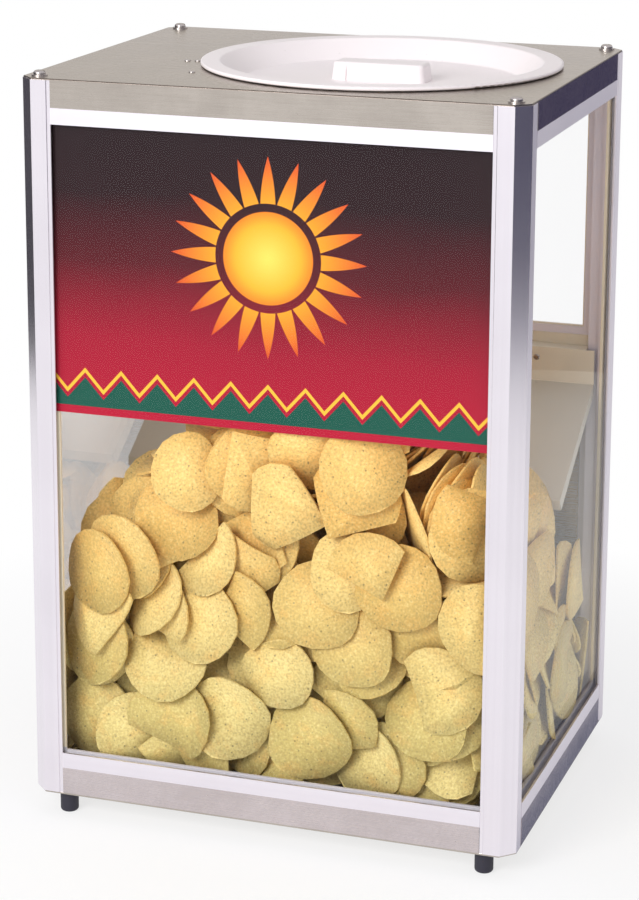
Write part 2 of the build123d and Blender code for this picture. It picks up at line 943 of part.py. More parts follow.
def magnet_catch():
    """The magnet on the rear rail that holds the door shut."""
    start = door_depth + magnet_air_gap
    top = door_foot + magnet_overlap
    back = start + magnet_depth
    half = magnet_width / 2
    body = block((-half, start, bottom_rail_top), (half, back, top))
    body += block((-half, rail_depth, floor_top), (half, back, top))
    body = on_side("rear", body)
    for cutter in magnet_screw_cutters():
        body -= cutter
    return body


def magnet_screw_places():
    """Place along the side and height of the catch's two screws."""
    z = floor_top + rail_height - groove_depth / 2
    return [(-magnet_width / 3, z), (magnet_width / 3, z)]


def magnet_screw_cutters():
    """Cutters for them through the catch and the rail's inner wall."""
    start = rail_depth - groove_rear_wall - sheet
    return [
        on_side("rear", rod(small_hole_radius, 2 * magnet_depth, x, start, z, (-90, 0, 0)))
        for x, z in magnet_screw_places()
    ]


def magnet_screws():
    """The screws that hold the catch to the rail."""
    start = door_depth + magnet_air_gap + magnet_depth
    length = start - rail_depth + groove_rear_wall
    screw = Rot(-90, 0, 0) * small_screw(length)
    return group(on_side("rear", Pos(x, start, z) * screw) for x, z in magnet_screw_places())


def rear_bottom_rail():
    """The rear bottom rail, drilled for the catch."""
    bar = bottom_rail("rear")
    for cutter in magnet_screw_cutters():
        bar -= cutter
    return bar


# ---- warm-air unit ----
inner_left = unit_left + cover_wall + unit_side_play
inner_right = unit_right - cover_wall - unit_side_play
bulkhead_y = unit_front_y + bulkhead_from_unit_front


def cover_screw_places():
    """Height and depth of the screws through the cover's long sides."""
    z = post_top - sheet - unit_flange / 2
    return [(unit_front_y + 34, z), (unit_rear_y - 46, z)]


def cover_screw_cutters():
    """Cutters for them, through cover and flange on both sides."""
    cutters = []
    for y, z in cover_screw_places():
        cutters.append(rod(small_hole_radius, unit_width + 8, unit_left - 4, y, z, (0, 90, 0)))
    return cutters


def unit_bracket():
    """The plate that hangs the unit from the deck: flanges, rear tab and fan bulkhead."""
    top = post_top
    tab_front = rear_y - sheet_setback - 2 * sheet
    plate = block(
        (inner_left, unit_front_y, top - sheet),
        (inner_right, tab_front + sheet, top),
    )
    for x, y in deck_rivet_places():
        if x > inner_right - 2 * rivet_head_radius:
            ear = block(
                (inner_right - sheet, y - 2.5 * rivet_head_radius, top - sheet),
                (x + 2 * rivet_head_radius, y + 2.5 * rivet_head_radius, top),
            )
            plate += ear
    flange_front = unit_front_y + cover_wall + unit_side_play
    flange_rear = unit_rear_y - cover_wall - unit_side_play
    for x in (inner_left, inner_right - sheet):
        plate += block((x, flange_front, top - unit_flange), (x + sheet, flange_rear, top))
    plate += block(
        (inner_left, tab_front, top - apron_height),
        (inner_right, tab_front + sheet, top),
    )
    bulkhead = block(
        (inner_left + sheet, bulkhead_y, unit_foot + cover_wall + unit_side_play),
        (inner_right - sheet, bulkhead_y + sheet, top),
    )
    duct_start = bulkhead_y - sheet
    bulkhead -= rod(fan_bore_radius, 4 * sheet, unit_middle_x, duct_start, fan_z, (-90, 0, 0))
    plate += bulkhead
    for cutter in cover_screw_cutters() + fan_screw_cutters():
        plate -= cutter
    for x, y in deck_rivet_places():
        plate -= rod(rivet_radius, 4 * sheet, x, y, top - 2 * sheet)
    plate -= on_side("rear", switch_cutout())
    return plate - on_side("rear", gland_cutout())


def slot_bank(count, length, width_of_slot, pitch):
    """Cutters for a row of round-ended slots along +Y, cut through in Z."""
    slot = extrude(SlotOverall(length, width_of_slot), 4 * cover_wall, both=True)
    return [Pos(0, i * pitch, 0) * slot for i in range(count)]


def unit_cover():
    """The tray that closes the unit: intake slots in front, outlet slots below."""
    top = post_top - sheet - unit_side_play
    tray = block((unit_left, unit_front_y, unit_foot), (unit_right, unit_rear_y, top))
    tray -= block(
        (unit_left + cover_wall, unit_front_y + cover_wall, unit_foot + cover_wall),
        (unit_right - cover_wall, unit_rear_y - cover_wall, post_top),
    )
    # The rear wall stops below the apron so that the switch and the gland reach in.
    tray -= block(
        (unit_left + cover_wall, unit_rear_y - 2 * cover_wall, post_top - apron_height - sheet),
        (unit_right - cover_wall, unit_rear_y + cover_wall, post_top),
    )
    outlet_start = bulkhead_y + element_from_bulkhead - slot_pitch
    outlet_count = int((element_run_length + 2 * element_pitch) / slot_pitch)
    for slot in slot_bank(outlet_count, slot_length, slot_width, slot_pitch):
        tray -= Pos(unit_middle_x, outlet_start, unit_foot) * slot
    intake_count = int((unit_height - 3 * slot_pitch) / slot_pitch)
    for slot in slot_bank(intake_count, slot_length, slot_width, slot_pitch):
        placed = Rot(90, 0, 0) * slot
        tray -= Pos(unit_middle_x, unit_front_y, unit_foot + 1.5 * slot_pitch) * placed
    for cutter in cover_screw_cutters():
        tray -= cutter
    return tray


def unit_cover_screws():
    """Four screws in the long sides of the cover."""
    placed = []
    for y, z in cover_screw_places():
        placed.append(Pos(unit_left, y, z) * Rot(0, -90, 0) * small_screw(4.5))
        placed.append(Pos(unit_right, y, z) * Rot(0, 90, 0) * small_screw(4.5))
    return group(placed)


def unit_rivets():
    """The three rivets through the deck."""
    return group(Pos(x, y, deck_top) * rivet(2 * sheet) for x, y in deck_rivet_places())


def fan_screw_places():
    """The corners of the fan's bolt square."""
    half = fan_screw_spacing / 2
    return [(sx * half, sz * half) for sx in (-1, 1) for sz in (-1, 1)]


def fan_screw_cutters():
    """Cutters for the fan screws through bulkhead and frame."""
    reach = fan_depth + 6 * sheet
    start = bulkhead_y - 3 * sheet
    cutter = rod(small_hole_radius, reach, turn=(-90, 0, 0))
    return [Pos(unit_middle_x + x, start, fan_z + z) * cutter for x, z in fan_screw_places()]


fan_start = bulkhead_y + sheet


def fan_frame():
    """The square fan housing with its duct, spokes and motor seat."""
    half = fan_size / 2
    body = block((-half, 0, -half), (half, fan_depth, half))
    body = fillet(body.edges().filter_by(Axis.Y), 4)
    duct = rod(fan_bore_radius, fan_depth, turn=(-90, 0, 0))
    body -= duct
    # The corners between the duct's ring and the two flanges are open.
    ring = rod(fan_bore_radius + fan_ring_wall, fan_depth, turn=(-90, 0, 0))
    hollow = block((-half, 3.5, -half), (half, fan_depth - 3.5, half)) - ring
    body -= hollow
    motor_start = fan_depth - fan_motor_length
    spokes = rod(fan_hub_radius, fan_motor_length, 0, motor_start, 0, (-90, 0, 0))
    for angle in (30, 150, 270):
        spoke = block(
            (fan_hub_radius - 1, motor_start + fan_motor_length * 0.3, -fan_spoke_width / 2),
            (fan_bore_radius + fan_ring_wall / 2, fan_depth, fan_spoke_width / 2),
        )
        spokes += Rot(0, angle, 0) * spoke
    body += spokes
    body -= rod(fan_shaft_radius + fan_shaft_fit, fan_depth, 0, 0, 0, (-90, 0, 0))
    body = Pos(unit_middle_x, fan_start, fan_z) * body
    for cutter in fan_screw_cutters():
        body -= cutter
    return body


def fan_rotor():
    """Hub, seven cambered blades and the shaft that runs in the frame."""
    gap = 1.0
    hub_start = fan_depth - fan_motor_length - gap - fan_hub_length
    hub = rod(fan_hub_radius, fan_hub_length, 0, hub_start, 0, (-90, 0, 0))
    hub = fillet(hub.edges().sort_by(Axis.Y)[0], 2)
    rotor = hub
    tip = fan_bore_radius - fan_tip_gap
    half_chord = fan_blade_chord / 2
    camber = fan_blade_chord * 0.12
    upper = ThreePointArc((-half_chord, 0), (0, camber), (half_chord, 0))
    lower = ThreePointArc(
        (half_chord, -fan_blade_thickness),
        (0, camber - fan_blade_thickness),
        (-half_chord, -fan_blade_thickness),
    )
    edges = [upper, Line(upper @ 1, lower @ 0), lower, Line(lower @ 1, upper @ 0)]
    blade = extrude(make_face(edges), tip + 4)
    blade = Pos(0, hub_start + fan_hub_length / 2, 0) * Rot(0, 0, fan_blade_pitch) * blade
    limit = rod(tip, fan_hub_length - 1, 0, hub_start + 0.5, 0, (-90, 0, 0))
    core = rod(fan_hub_radius - 2, fan_depth, 0, 0, 0, (-90, 0, 0))
    blade = (blade & limit) - core
    for i in range(fan_blade_count):
        rotor += Rot(0, 360 * i / fan_blade_count, 0) * blade
    shaft_start = hub_start + fan_hub_length - 1
    shaft_length = 1 + gap + fan_motor_length * 0.8
    rotor += rod(fan_shaft_radius, shaft_length, 0, shaft_start, 0, (-90, 0, 0))
    return Pos(unit_middle_x, fan_start, fan_z) * rotor


def fan_screws():
    """The four screws that hold the fan to the bulkhead."""
    screw = Rot(90, 0, 0) * small_screw(small_screw_length)
    return group(
        Pos(unit_middle_x + x, bulkhead_y, fan_z + z) * screw for x, z in fan_screw_places()
    )


element_start = bulkhead_y + element_from_bulkhead


def element_xs():
    """Where the element's runs lie across the unit."""
    first = -(element_runs - 1) / 2 * element_pitch
    return [first + i * element_pitch for i in range(element_runs)]


def heating_element():
    """A sheathed element bent to and fro across the air stream."""
    tube = None
    end = element_start + element_run_length
    for i, x in enumerate(element_xs()):
        is_end = i in (0, element_runs - 1)
        length = element_run_length + (element_tail if is_end else 0)
        run = rod(element_radius, length, unit_middle_x + x, element_start, fan_z, (-90, 0, 0))
        tube = run if tube is None else tube + run
    bend = element_pitch / 2
    half_ring = Torus(bend, element_radius) & block(
        (-2 * bend - element_radius, -2 * bend, -bend), (2 * bend + element_radius, 0, bend)
    )
    xs = element_xs()
    for i in range(element_runs - 1):
        middle = unit_middle_x + (xs[i] + xs[i + 1]) / 2
        if i % 2 == 0:
            tube += Pos(middle, element_start, fan_z) * half_ring
        else:
            tube += Pos(middle, end, fan_z) * Rot(0, 0, 180) * half_ring
    return tube


def element_supports():
    """Two plates that hang the element from the bracket."""
    placed = []
    for y in (element_start + support_inset, element_start + element_run_length - support_inset):
        plate = block(
            (unit_middle_x - support_width / 2, y, fan_z - 2.5 * element_radius),
            (unit_middle_x + support_width / 2, y + support_thickness, post_top - sheet),
        )
        for x in element_xs():
            plate -= rod(
                element_radius + support_hole_fit, 4 * support_thickness,
                unit_middle_x + x, y - support_thickness, fan_z, (-90, 0, 0),
            )
        placed.append(plate)
    return group(placed)


def limit_thermostat():
    """The snap disc on the underside of the bracket, over the element."""
    reach = thermostat_flange_length / 2
    flange = block((-reach, -5, -sheet), (reach, 5, 0))
    body = flange + rod(thermostat_radius, thermostat_height, z=-thermostat_height)
    for x in (-thermostat_radius / 2, thermostat_radius / 2):
        body += block(
            (x - tab_thickness / 2, -3, -thermostat_height - 6),
            (x + tab_thickness / 2, 3, -thermostat_height),
        )
    middle_y_of_element = element_start + element_run_length / 2
    return Pos(unit_middle_x, middle_y_of_element, post_top - sheet) * body


# ---- switch and gland, drawn on the rear side's own axes ----
apron_middle_z = post_top - apron_height / 2
switch_x = half_width - switch_from_left
gland_x = half_width - gland_from_left
rocker_pivot_in = 0.2


def switch_cutout():
    """The hole for the switch through the apron and the tab behind it."""
    return block(
        (switch_x - switch_length / 2, -sheet, apron_middle_z - switch_height / 2),
        (switch_x + switch_length / 2, 3 * sheet + sheet, apron_middle_z + switch_height / 2),
    )


def gland_cutout():
    """The hole for the gland's thread."""
    return rod(gland_thread_radius, 5 * sheet, gland_x, -sheet, apron_middle_z, (-90, 0, 0))


def switch_body():
    """The switch housing: bezel, body, the hollow that the rocker turns in, and its pin holes."""
    face = sheet_setback
    half_x = switch_length / 2
    half_z = switch_height / 2
    body = block(
        (-half_x - bezel_margin, face - bezel_thickness, -half_z - bezel_margin),
        (half_x + bezel_margin, face, half_z + bezel_margin),
    )
    body = fillet(body.edges().group_by(Axis.Y)[0], bezel_thickness / 2)
    body += block(
        (-half_x + thread_fit, face, -half_z + thread_fit),
        (half_x - thread_fit, face + switch_depth, half_z - thread_fit),
    )
    high = rocker_height / 2 + rocker_end_gap
    hollow_radius = rocker_radius + rocker_fit
    hollow = rod(hollow_radius, 2 * high, 0, rocker_pivot_in, -high)
    hollow += block(
        (-hollow_radius, -2 * bezel_thickness, -high),
        (hollow_radius, rocker_pivot_in, high),
    )
    body -= hollow
    pin_reach = rocker_height / 2 + rocker_pin_length + rocker_end_gap
    pin_hole_radius = rocker_pin_radius + rocker_pin_fit
    body -= rod(pin_hole_radius, 2 * pin_reach, 0, rocker_pivot_in, -pin_reach)
    back = face + switch_depth
    for x in (-switch_length / 4, switch_length / 4):
        body += block((x - tab_thickness / 2, back, -2.4), (x + tab_thickness / 2, back + 5, 2.4))
    return on_side("rear", Pos(switch_x, 0, apron_middle_z) * body)


def switch_rocker():
    """The rocker, tilted to its off side: a dished face over a round back, on two pins."""
    side = math.sqrt(rocker_radius ** 2 - 1)
    brow = rocker_radius - 0.4
    back = ThreePointArc((-side, 1), (0, rocker_radius), (side, 1))
    face = Polyline((side, 1), (brow, -rocker_rise), (0, -rocker_dip), (-brow, -rocker_rise), (-side, 1))
    profile = make_face([back] + list(face.edges()))
    rocker = Rot(0, 0, rocker_tilt) * extrude(profile, rocker_height / 2, both=True)
    pin_end = rocker_height / 2 + rocker_pin_length
    pins = rod(rocker_pin_radius, 2 * pin_end, z=-pin_end)
    return on_side("rear", Pos(switch_x, rocker_pivot_in, apron_middle_z) * (rocker + pins))


def cord_gland():
    """The cord inlet: flange, ribbed dome outside, thread inside, bored for a cord."""
    flange = rod(gland_flange_radius, gland_flange_thickness)
    dome = rod(gland_radius, gland_reach)
    dome = fillet(dome.edges().sort_by(Axis.Z)[-1], gland_dome_radius)
    flute_foot = gland_flange_thickness + 1
    flute_length = gland_reach - gland_dome_radius - flute_foot
    for i in range(gland_flute_count):
        flute = rod(gland_flute_radius, flute_length, gland_radius, 0, flute_foot)
        dome -= Rot(0, 0, 360 * i / gland_flute_count) * flute
    thread = rod(gland_thread_radius - thread_fit, gland_thread_length, z=-gland_thread_length)
    body = flange + dome + thread
    body -= rod(gland_bore_radius, 4 * gland_reach, z=-2 * gland_reach)
    outwards = Pos(gland_x, sheet_setback, apron_middle_z) * Rot(90, 0, 0)
    return on_side("rear", outwards * body)


def gland_nut():
    """The nut behind the tab."""
    nut = hexagon_bar(gland_nut_width, gland_nut_thickness)
    nut -= rod(gland_thread_radius, gland_nut_thickness)
    start = sheet_setback + 2 * sheet
    return on_side("rear", Pos(gland_x, start, apron_middle_z) * Rot(-90, 0, 0) * nut)


# ---- the parts ----
def rear_post(corner):
    """A rear post, bored for the hinge rod."""
    return post(corner) - rod_holes()


parts = {
    "post_front_left": post("front_left"),
    "post_front_right": post("front_right"),
    "post_rear_left": rear_post("rear_left"),
    "post_rear_right": rear_post("rear_right"),
    "rear_mid_rail": rear_mid_rail(),
    "bottom_rail_rear": rear_bottom_rail(),
    "top_deck": top_deck(),
    "base_pan": base_pan(),
    "bottom_plate": bottom_plate(),
    "post_top_washers": post_top_washers(),
    "post_top_screws": post_top_screws(),
    "post_bottom_screws": post_bottom_screws(),
    "feet": feet(),
    "foot_studs": foot_studs(),
    "foot_nuts": foot_nuts(),
    "sign_panel": sign_panel(),
    "bead_front": front_bead(),
    "glass_rear_upper": pane("rear", upper_pane_limits()),
    "bead_rear": bead("rear", upper_pane_limits()),
    "lid": lid(),
    "lid_handle": lid_handle(),
    "lid_handle_screws": lid_handle_screws(),
    "hopper_baffle": hopper_baffle(),
    "baffle_brackets": baffle_brackets(),
    "baffle_rivets": baffle_rivets(),
    "service_door": service_door(),
    "door_hinge_rod": door_hinge_rod(),
    "door_pull": door_pull(),
    "door_pull_screws": door_pull_screws(),
    "magnet_catch": magnet_catch(),
    "magnet_screws": magnet_screws(),
    "unit_bracket": unit_bracket(),
    "unit_cover": unit_cover(),
    "unit_cover_screws": unit_cover_screws(),
    "unit_rivets": unit_rivets(),
    "fan_frame": fan_frame(),
    "fan_rotor": fan_rotor(),
    "fan_screws": fan_screws(),
    "heating_element": heating_element(),
    "element_supports": element_supports(),
    "limit_thermostat": limit_thermostat(),
    "switch_body": switch_body(),
    "switch_rocker": switch_rocker(),
    "cord_gland": cord_gland(),
    "gland_nut": gland_nut(),
}
for side in SIDES:
    parts["top_rail_" + side] = top_rail(side)
for side in ("front", "left", "right"):
    parts["bottom_rail_" + side] = bottom_rail(side)
    parts["glass_" + side] = pane(side, full_pane_limits(side))
for side in ("left", "right"):
    parts["bead_" + side] = bead(side, full_pane_limits(side))

for name, shape in parts.items():
    export_step(shape, "parts/" + name + ".step")
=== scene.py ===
import itertools
import json
import math
import random
from collections import namedtuple

import bmesh
import bpy
from mathutils import Matrix, Quaternion, Vector

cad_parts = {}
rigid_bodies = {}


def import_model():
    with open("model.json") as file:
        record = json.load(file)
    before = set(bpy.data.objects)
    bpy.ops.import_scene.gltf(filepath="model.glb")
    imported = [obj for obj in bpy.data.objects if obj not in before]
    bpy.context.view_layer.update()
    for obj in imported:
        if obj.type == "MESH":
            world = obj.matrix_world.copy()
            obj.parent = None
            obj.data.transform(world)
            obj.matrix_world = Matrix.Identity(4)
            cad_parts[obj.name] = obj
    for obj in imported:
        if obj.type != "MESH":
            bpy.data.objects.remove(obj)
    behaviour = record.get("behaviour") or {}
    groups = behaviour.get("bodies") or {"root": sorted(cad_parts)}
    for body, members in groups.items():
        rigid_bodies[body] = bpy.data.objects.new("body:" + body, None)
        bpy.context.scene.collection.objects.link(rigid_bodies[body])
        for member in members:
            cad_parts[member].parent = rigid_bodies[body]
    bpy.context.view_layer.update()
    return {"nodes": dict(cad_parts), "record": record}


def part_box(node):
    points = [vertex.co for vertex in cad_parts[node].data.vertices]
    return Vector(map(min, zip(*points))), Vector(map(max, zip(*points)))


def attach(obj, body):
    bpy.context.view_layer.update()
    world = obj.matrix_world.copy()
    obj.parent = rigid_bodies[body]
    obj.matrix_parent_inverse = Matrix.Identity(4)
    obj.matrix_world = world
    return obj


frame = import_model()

# The looks of a glazed chip warmer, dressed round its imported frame. Metres, +Z up, front to -Y.

NODES = frame["nodes"]

MIX_FACTOR, MIX_FIRST, MIX_SECOND, MIX_RESULT = 0, 6, 7, 2     # a colour Mix node's sockets
WHITE = (1.0, 1.0, 1.0, 1.0)
UNSHIFTED = (0.0, 0.0, 0.0)
EVEN = (1.0, 1.0, 1.0)
QUAD = (0, 1, 2, 3)         # the corners of a four-sided face
# A display's curve: straight up to its start, and a power above it.
DISPLAY_TOP = 255
CURVE_START, CURVE_SLOPE, CURVE_RISE, CURVE_POWER = 0.04045, 12.92, 0.055, 2.4


# ---- shader maths ----
class Value:
    """A socket that reads like a number: an expression on it adds Math nodes."""

    def __init__(self, tree, socket):
        self.tree = tree
        self.socket = socket

    def math(self, operation, *others, clamp=False):
        """One Math node of this value and the others."""
        node = self.tree.nodes.new("ShaderNodeMath")
        node.operation = operation
        node.use_clamp = clamp
        for slot, item in zip(node.inputs, (self, *others)):
            if isinstance(item, Value):
                self.tree.links.new(item.socket, slot)
            else:
                slot.default_value = item
        return Value(self.tree, node.outputs[0])

    def reversed_math(self, operation, first):
        """One Math node of a plain number first and then this value."""
        node = self.tree.nodes.new("ShaderNodeMath")
        node.operation = operation
        node.inputs[0].default_value = first
        self.tree.links.new(self.socket, node.inputs[1])
        return Value(self.tree, node.outputs[0])

    def __add__(self, other):
        return self.math("ADD", other)

    __radd__ = __add__

    def __mul__(self, other):
        return self.math("MULTIPLY", other)

    __rmul__ = __mul__

    def __sub__(self, other):
        return self.math("SUBTRACT", other)

    def __rsub__(self, other):
        return self.reversed_math("SUBTRACT", other)

    def __truediv__(self, other):
        return self.math("DIVIDE", other)

    def __rtruediv__(self, other):
        return self.reversed_math("DIVIDE", other)

    def __pow__(self, other):
        return self.math("POWER", other)

    def __lt__(self, other):
        return self.math("LESS_THAN", other)

    def __gt__(self, other):
        return self.math("GREATER_THAN", other)

    def __abs__(self):
        return self.math("ABSOLUTE")

    def __mod__(self, other):
        return self.math("FLOORED_MODULO", other)

    def clamp(self):
        """This value held between 0 and 1."""
        return self.math("ADD", 0.0, clamp=True)

    def ramp(self, start, end):
        """0 at start and 1 at end, straight between them and held outside."""
        return ((self - start) / (end - start)).clamp()


class Finish:
    """A material with one Principled shader, and short calls for the nodes behind it."""

    def __init__(self, name, **constants):
        self.material = bpy.data.materials.new(name)
        self.material.use_nodes = True
        self.tree = self.material.node_tree
        self.shader = self.tree.nodes["Principled BSDF"]
        self.output = self.tree.nodes["Material Output"]
        for socket, value in constants.items():
            self.shader.inputs[socket.replace("_", " ")].default_value = value
        self.place = None

    def add(self, kind, settings=None, sockets=None, out=0):
        """A node of this kind: its settings first, then the values or links of its sockets."""
        node = self.tree.nodes.new(kind)
        for name, value in (settings or {}).items():
            if name == "stops":
                self.set_stops(node.color_ramp, value)
            else:
                setattr(node, name, value)
        for name, value in (sockets or {}).items():
            if isinstance(value, Value):
                self.tree.links.new(value.socket, node.inputs[name])
            else:
                node.inputs[name].default_value = value
        return Value(self.tree, node.outputs[out])

    @staticmethod
    def set_stops(ramp, stops):
        """Gives a colour ramp these (position, colour) stops."""
        while len(ramp.elements) > 1:
            ramp.elements.remove(ramp.elements[-1])
        ramp.elements[0].position, ramp.elements[0].color = stops[0][0], shade(stops[0][1])
        for position, colour in stops[1:]:
            ramp.elements.new(position).color = shade(colour)

    def coordinates(self):
        """Object coordinates, which on a part are its place in metres."""
        if self.place is None:
            self.place = self.add("ShaderNodeTexCoord", out="Object")
        return self.place

    def axis(self, letter):
        """One of the coordinates."""
        return self.add("ShaderNodeSeparateXYZ", None, {"Vector": self.coordinates()}, letter)

    def facing(self, letter):
        """How squarely the surface faces along an axis: 1 along it, -1 against it."""
        normal = self.add("ShaderNodeNewGeometry", out="Normal")
        return self.add("ShaderNodeSeparateXYZ", None, {"Vector": normal}, letter)

    def stretched(self, factors, shift=UNSHIFTED):
        """Object coordinates times these factors, for grain that runs one way."""
        return self.add(
            "ShaderNodeMapping", {"vector_type": "POINT"},
            {"Vector": self.coordinates(), "Scale": factors, "Location": shift},
        )

    def noise(self, size, detail=3.0, rough=0.5, stretch=EVEN, shift=UNSHIFTED):
        """Noise from 0 to 1 whose lumps are about size metres across."""
        place = self.stretched(tuple(share / size for share in stretch), shift)
        sockets = {"Vector": place, "Scale": 1.0, "Detail": detail, "Roughness": rough}
        return self.add("ShaderNodeTexNoise", None, sockets)

    def cells(self, size, out="Distance"):
        """Scattered points about size metres apart: the distance from the nearest, or its colour."""
        place = self.stretched(tuple(share / size for share in EVEN))
        return self.add("ShaderNodeTexVoronoi", None, {"Vector": place, "Scale": 1.0}, out)

    def blend(self, factor, first, second):
        """Colour first where the factor is 0, colour second where it is 1."""
        node = self.tree.nodes.new("ShaderNodeMix")
        node.data_type = "RGBA"
        node.clamp_factor = True
        self.tree.links.new(factor.socket, node.inputs[MIX_FACTOR])
        for slot, item in ((MIX_FIRST, first), (MIX_SECOND, second)):
            if isinstance(item, Value):
                self.tree.links.new(item.socket, node.inputs[slot])
            else:
                node.inputs[slot].default_value = shade(item)
        return Value(self.tree, node.outputs[MIX_RESULT])

    def colours(self, value, stops):
        """A colour ramp over a value."""
        return self.add("ShaderNodeValToRGB", {"stops": stops}, {"Fac": value}, "Color")

    def feed(self, socket, value):
        """Links a value or a colour to the shader."""
        self.tree.links.new(value.socket, self.shader.inputs[socket])

    def bump(self, height, depth, strength=1.0):
        """Raises the surface by height times depth in metres."""
        normal = self.add(
            "ShaderNodeBump", None,
            {"Strength": strength, "Distance": depth, "Height": height}, "Normal",
        )
        self.feed("Normal", normal)


def shade(colour):
    """A display colour, 0 to 255, as the linear colour that a socket takes."""
    if isinstance(colour, (int, float)):
        colour = (colour, colour, colour)
    linear = []
    for channel in colour:
        share = channel / DISPLAY_TOP
        if share <= CURVE_START:
            linear.append(share / CURVE_SLOPE)
        else:
            linear.append(((share + CURVE_RISE) / (1 + CURVE_RISE)) ** CURVE_POWER)
    return (*linear, 1.0)


# ---- small helpers ----
def link(name, data):
    """A new object in the scene."""
    made = bpy.data.objects.new(name, data)
    bpy.context.scene.collection.objects.link(made)
    return made


# ---- materials ----
# Sizes and depths are in metres, and colours are display values. A mark's ramp gives the noise
# at which it starts and the noise at which it is full, and its share is how much it then covers.
ALLOY_DARK, ALLOY_LIGHT = (224, 218, 226), (242, 237, 244)
ALLOY_ALONG = 0.004         # drawing lines are scaled by this along the extrusion
ALLOY_LINE, ALLOY_STREAK, ALLOY_CLOUD = 0.0007, 0.004, 0.07
ALLOY_UNEVEN, ALLOY_DEPTH = 0.05, 0.000003
FLANK_RAMP = (0.9, 0.97)    # how squarely a face looks to the right before it is a flank
FLANK_DULL, FLANK_ROUGHER = 0.5, 0.15


def aluminium(name, along, metallic, roughness):
    """Satin anodised extrusion: drawing lines along one axis, soft clouds and duller flanks."""
    finish = Finish(name)
    lines = tuple(ALLOY_ALONG if letter == along else 1.0 for letter in "xyz")
    grain = finish.noise(ALLOY_LINE, 2.0, 0.6, lines)
    streak = finish.noise(ALLOY_STREAK, 2.0, 0.5, lines)
    cloud = finish.noise(ALLOY_CLOUD)
    tone = (cloud * 0.6 + streak * 0.4).clamp()
    flank = finish.facing("X").ramp(*FLANK_RAMP)
    finish.feed("Metallic", metallic - flank * FLANK_DULL * metallic)
    finish.feed("Base Color", finish.blend(tone, ALLOY_DARK, ALLOY_LIGHT))
    finish.feed("Roughness", roughness + (grain + cloud) * ALLOY_UNEVEN + flank * FLANK_ROUGHER)
    finish.bump(grain, ALLOY_DEPTH)
    return finish.material


STEEL_ALONG = 0.015         # brush lines are scaled by this along the sheet
STEEL_LINE, STEEL_CLOUD, STEEL_SPECK, STEEL_SCRATCH = 0.0007, 0.045, 0.0045, 0.012
STEEL_CLOUD_RAMP, STEEL_SPECK_RAMP, STEEL_SCRATCH_RAMP = (0.3, 0.7), (0.75, 0.81), (0.74, 0.79)
STEEL_SPECK_COLOUR, STEEL_SCRATCH_COLOUR = (120, 110, 104), (228, 224, 216)
STEEL_SPECK_SHARE, STEEL_SCRATCH_SHARE = 0.3, 0.25
STEEL_SCRATCH_SHIFT = (0.3, 0.1, 0.7)
STEEL_ROUGHNESS, STEEL_DEPTH = 0.18, 0.00003
DECK_FOLD_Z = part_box("top_deck")[0].z
FOLD_LOW_RAMP, FOLD_HIGH_RAMP = (0.05, 0.2), (0.97, 0.995)     # a fold faces up by this much
# painted shade along the deck's folds, in place of their bright reflection: how much of it, and its
# colour
FOLD_SHADE_SHARE, FOLD_SHADE_COLOUR = 0.95, (84, 74, 68)
# painted shade on the baffle's sloping plate: how much of it, and its colour
SLOPE_SHADE_SHARE, SLOPE_SHADE_COLOUR = 0.6, (160, 152, 138)


def stainless(name, along, metallic, rougher, dark, light, painted_shade_top=0.0):
    """Brushed sheet: grain along one axis, smudges, small specks and a few long scratches.

    Painted shade darkens the deck's folds. What lies lower than the top that it is given is darker:
    painted shade.
    """
    finish = Finish(name, Metallic=metallic)
    lines = tuple(STEEL_ALONG if letter == along else 1.0 for letter in "xyz")
    grain = finish.noise(STEEL_LINE, 3.0, 0.7, lines)
    cloud = finish.noise(STEEL_CLOUD, 4.0, 0.65)
    specks = finish.noise(STEEL_SPECK, 1.0).ramp(*STEEL_SPECK_RAMP)
    long_marks = finish.noise(STEEL_SCRATCH, 1.0, 0.5, lines, STEEL_SCRATCH_SHIFT)
    scratches = long_marks.ramp(*STEEL_SCRATCH_RAMP)
    tone = (cloud.ramp(*STEEL_CLOUD_RAMP) * 0.35 + grain * 0.4 + 0.12).clamp()
    ground = finish.blend(tone, dark, light)
    # painted shade: darker below the given top
    if painted_shade_top:
        film = (finish.axis("Z") < painted_shade_top) * SLOPE_SHADE_SHARE
        ground = finish.blend(film, ground, SLOPE_SHADE_COLOUR)
    ground = finish.blend(specks * STEEL_SPECK_SHARE, ground, STEEL_SPECK_COLOUR)
    # painted shade: the deck's folds are darkened where they would shine
    upward = finish.facing("Z")
    bent = upward.ramp(*FOLD_LOW_RAMP) * (1.0 - upward.ramp(*FOLD_HIGH_RAMP))
    fold = bent * (finish.axis("Z") > DECK_FOLD_Z)
    ground = finish.blend(fold * FOLD_SHADE_SHARE, ground, FOLD_SHADE_COLOUR)
    ground = finish.blend(scratches * STEEL_SCRATCH_SHARE, ground, STEEL_SCRATCH_COLOUR)
    finish.feed("Base Color", ground)
    uneven = grain * 0.12 + cloud * 0.06 + specks * 0.1
    finish.feed("Roughness", STEEL_ROUGHNESS + rougher + uneven)
    finish.bump(grain * 0.8 - specks * 0.5 - scratches * 0.4, STEEL_DEPTH)
    return finish.material


MOULD_GRAIN = 0.002
MOULD_CLOUD = 12            # clouds are this many grains across
MOULD_DARKER, MOULD_UNEVEN = 0.08, 0.1
MOULD_DEPTH = 0.02          # grains are this share of their width deep


def plain(name, colour, roughness, metallic=0.0):
    """A moulded or plated finish with a fine grain in colour, roughness and height."""
    finish = Finish(name, Metallic=metallic)
    grain = finish.noise(MOULD_GRAIN)
    cloud = finish.noise(MOULD_GRAIN * MOULD_CLOUD, 2.0)
    darker = tuple(channel * (1 - MOULD_DARKER) for channel in colour)
    finish.feed("Base Color", finish.blend((grain * 0.6 + cloud * 0.4).clamp(), darker, colour))
    finish.feed("Roughness", roughness - MOULD_UNEVEN / 2 + grain * MOULD_UNEVEN)
    finish.bump(grain, MOULD_GRAIN * MOULD_DEPTH)
    return finish.material


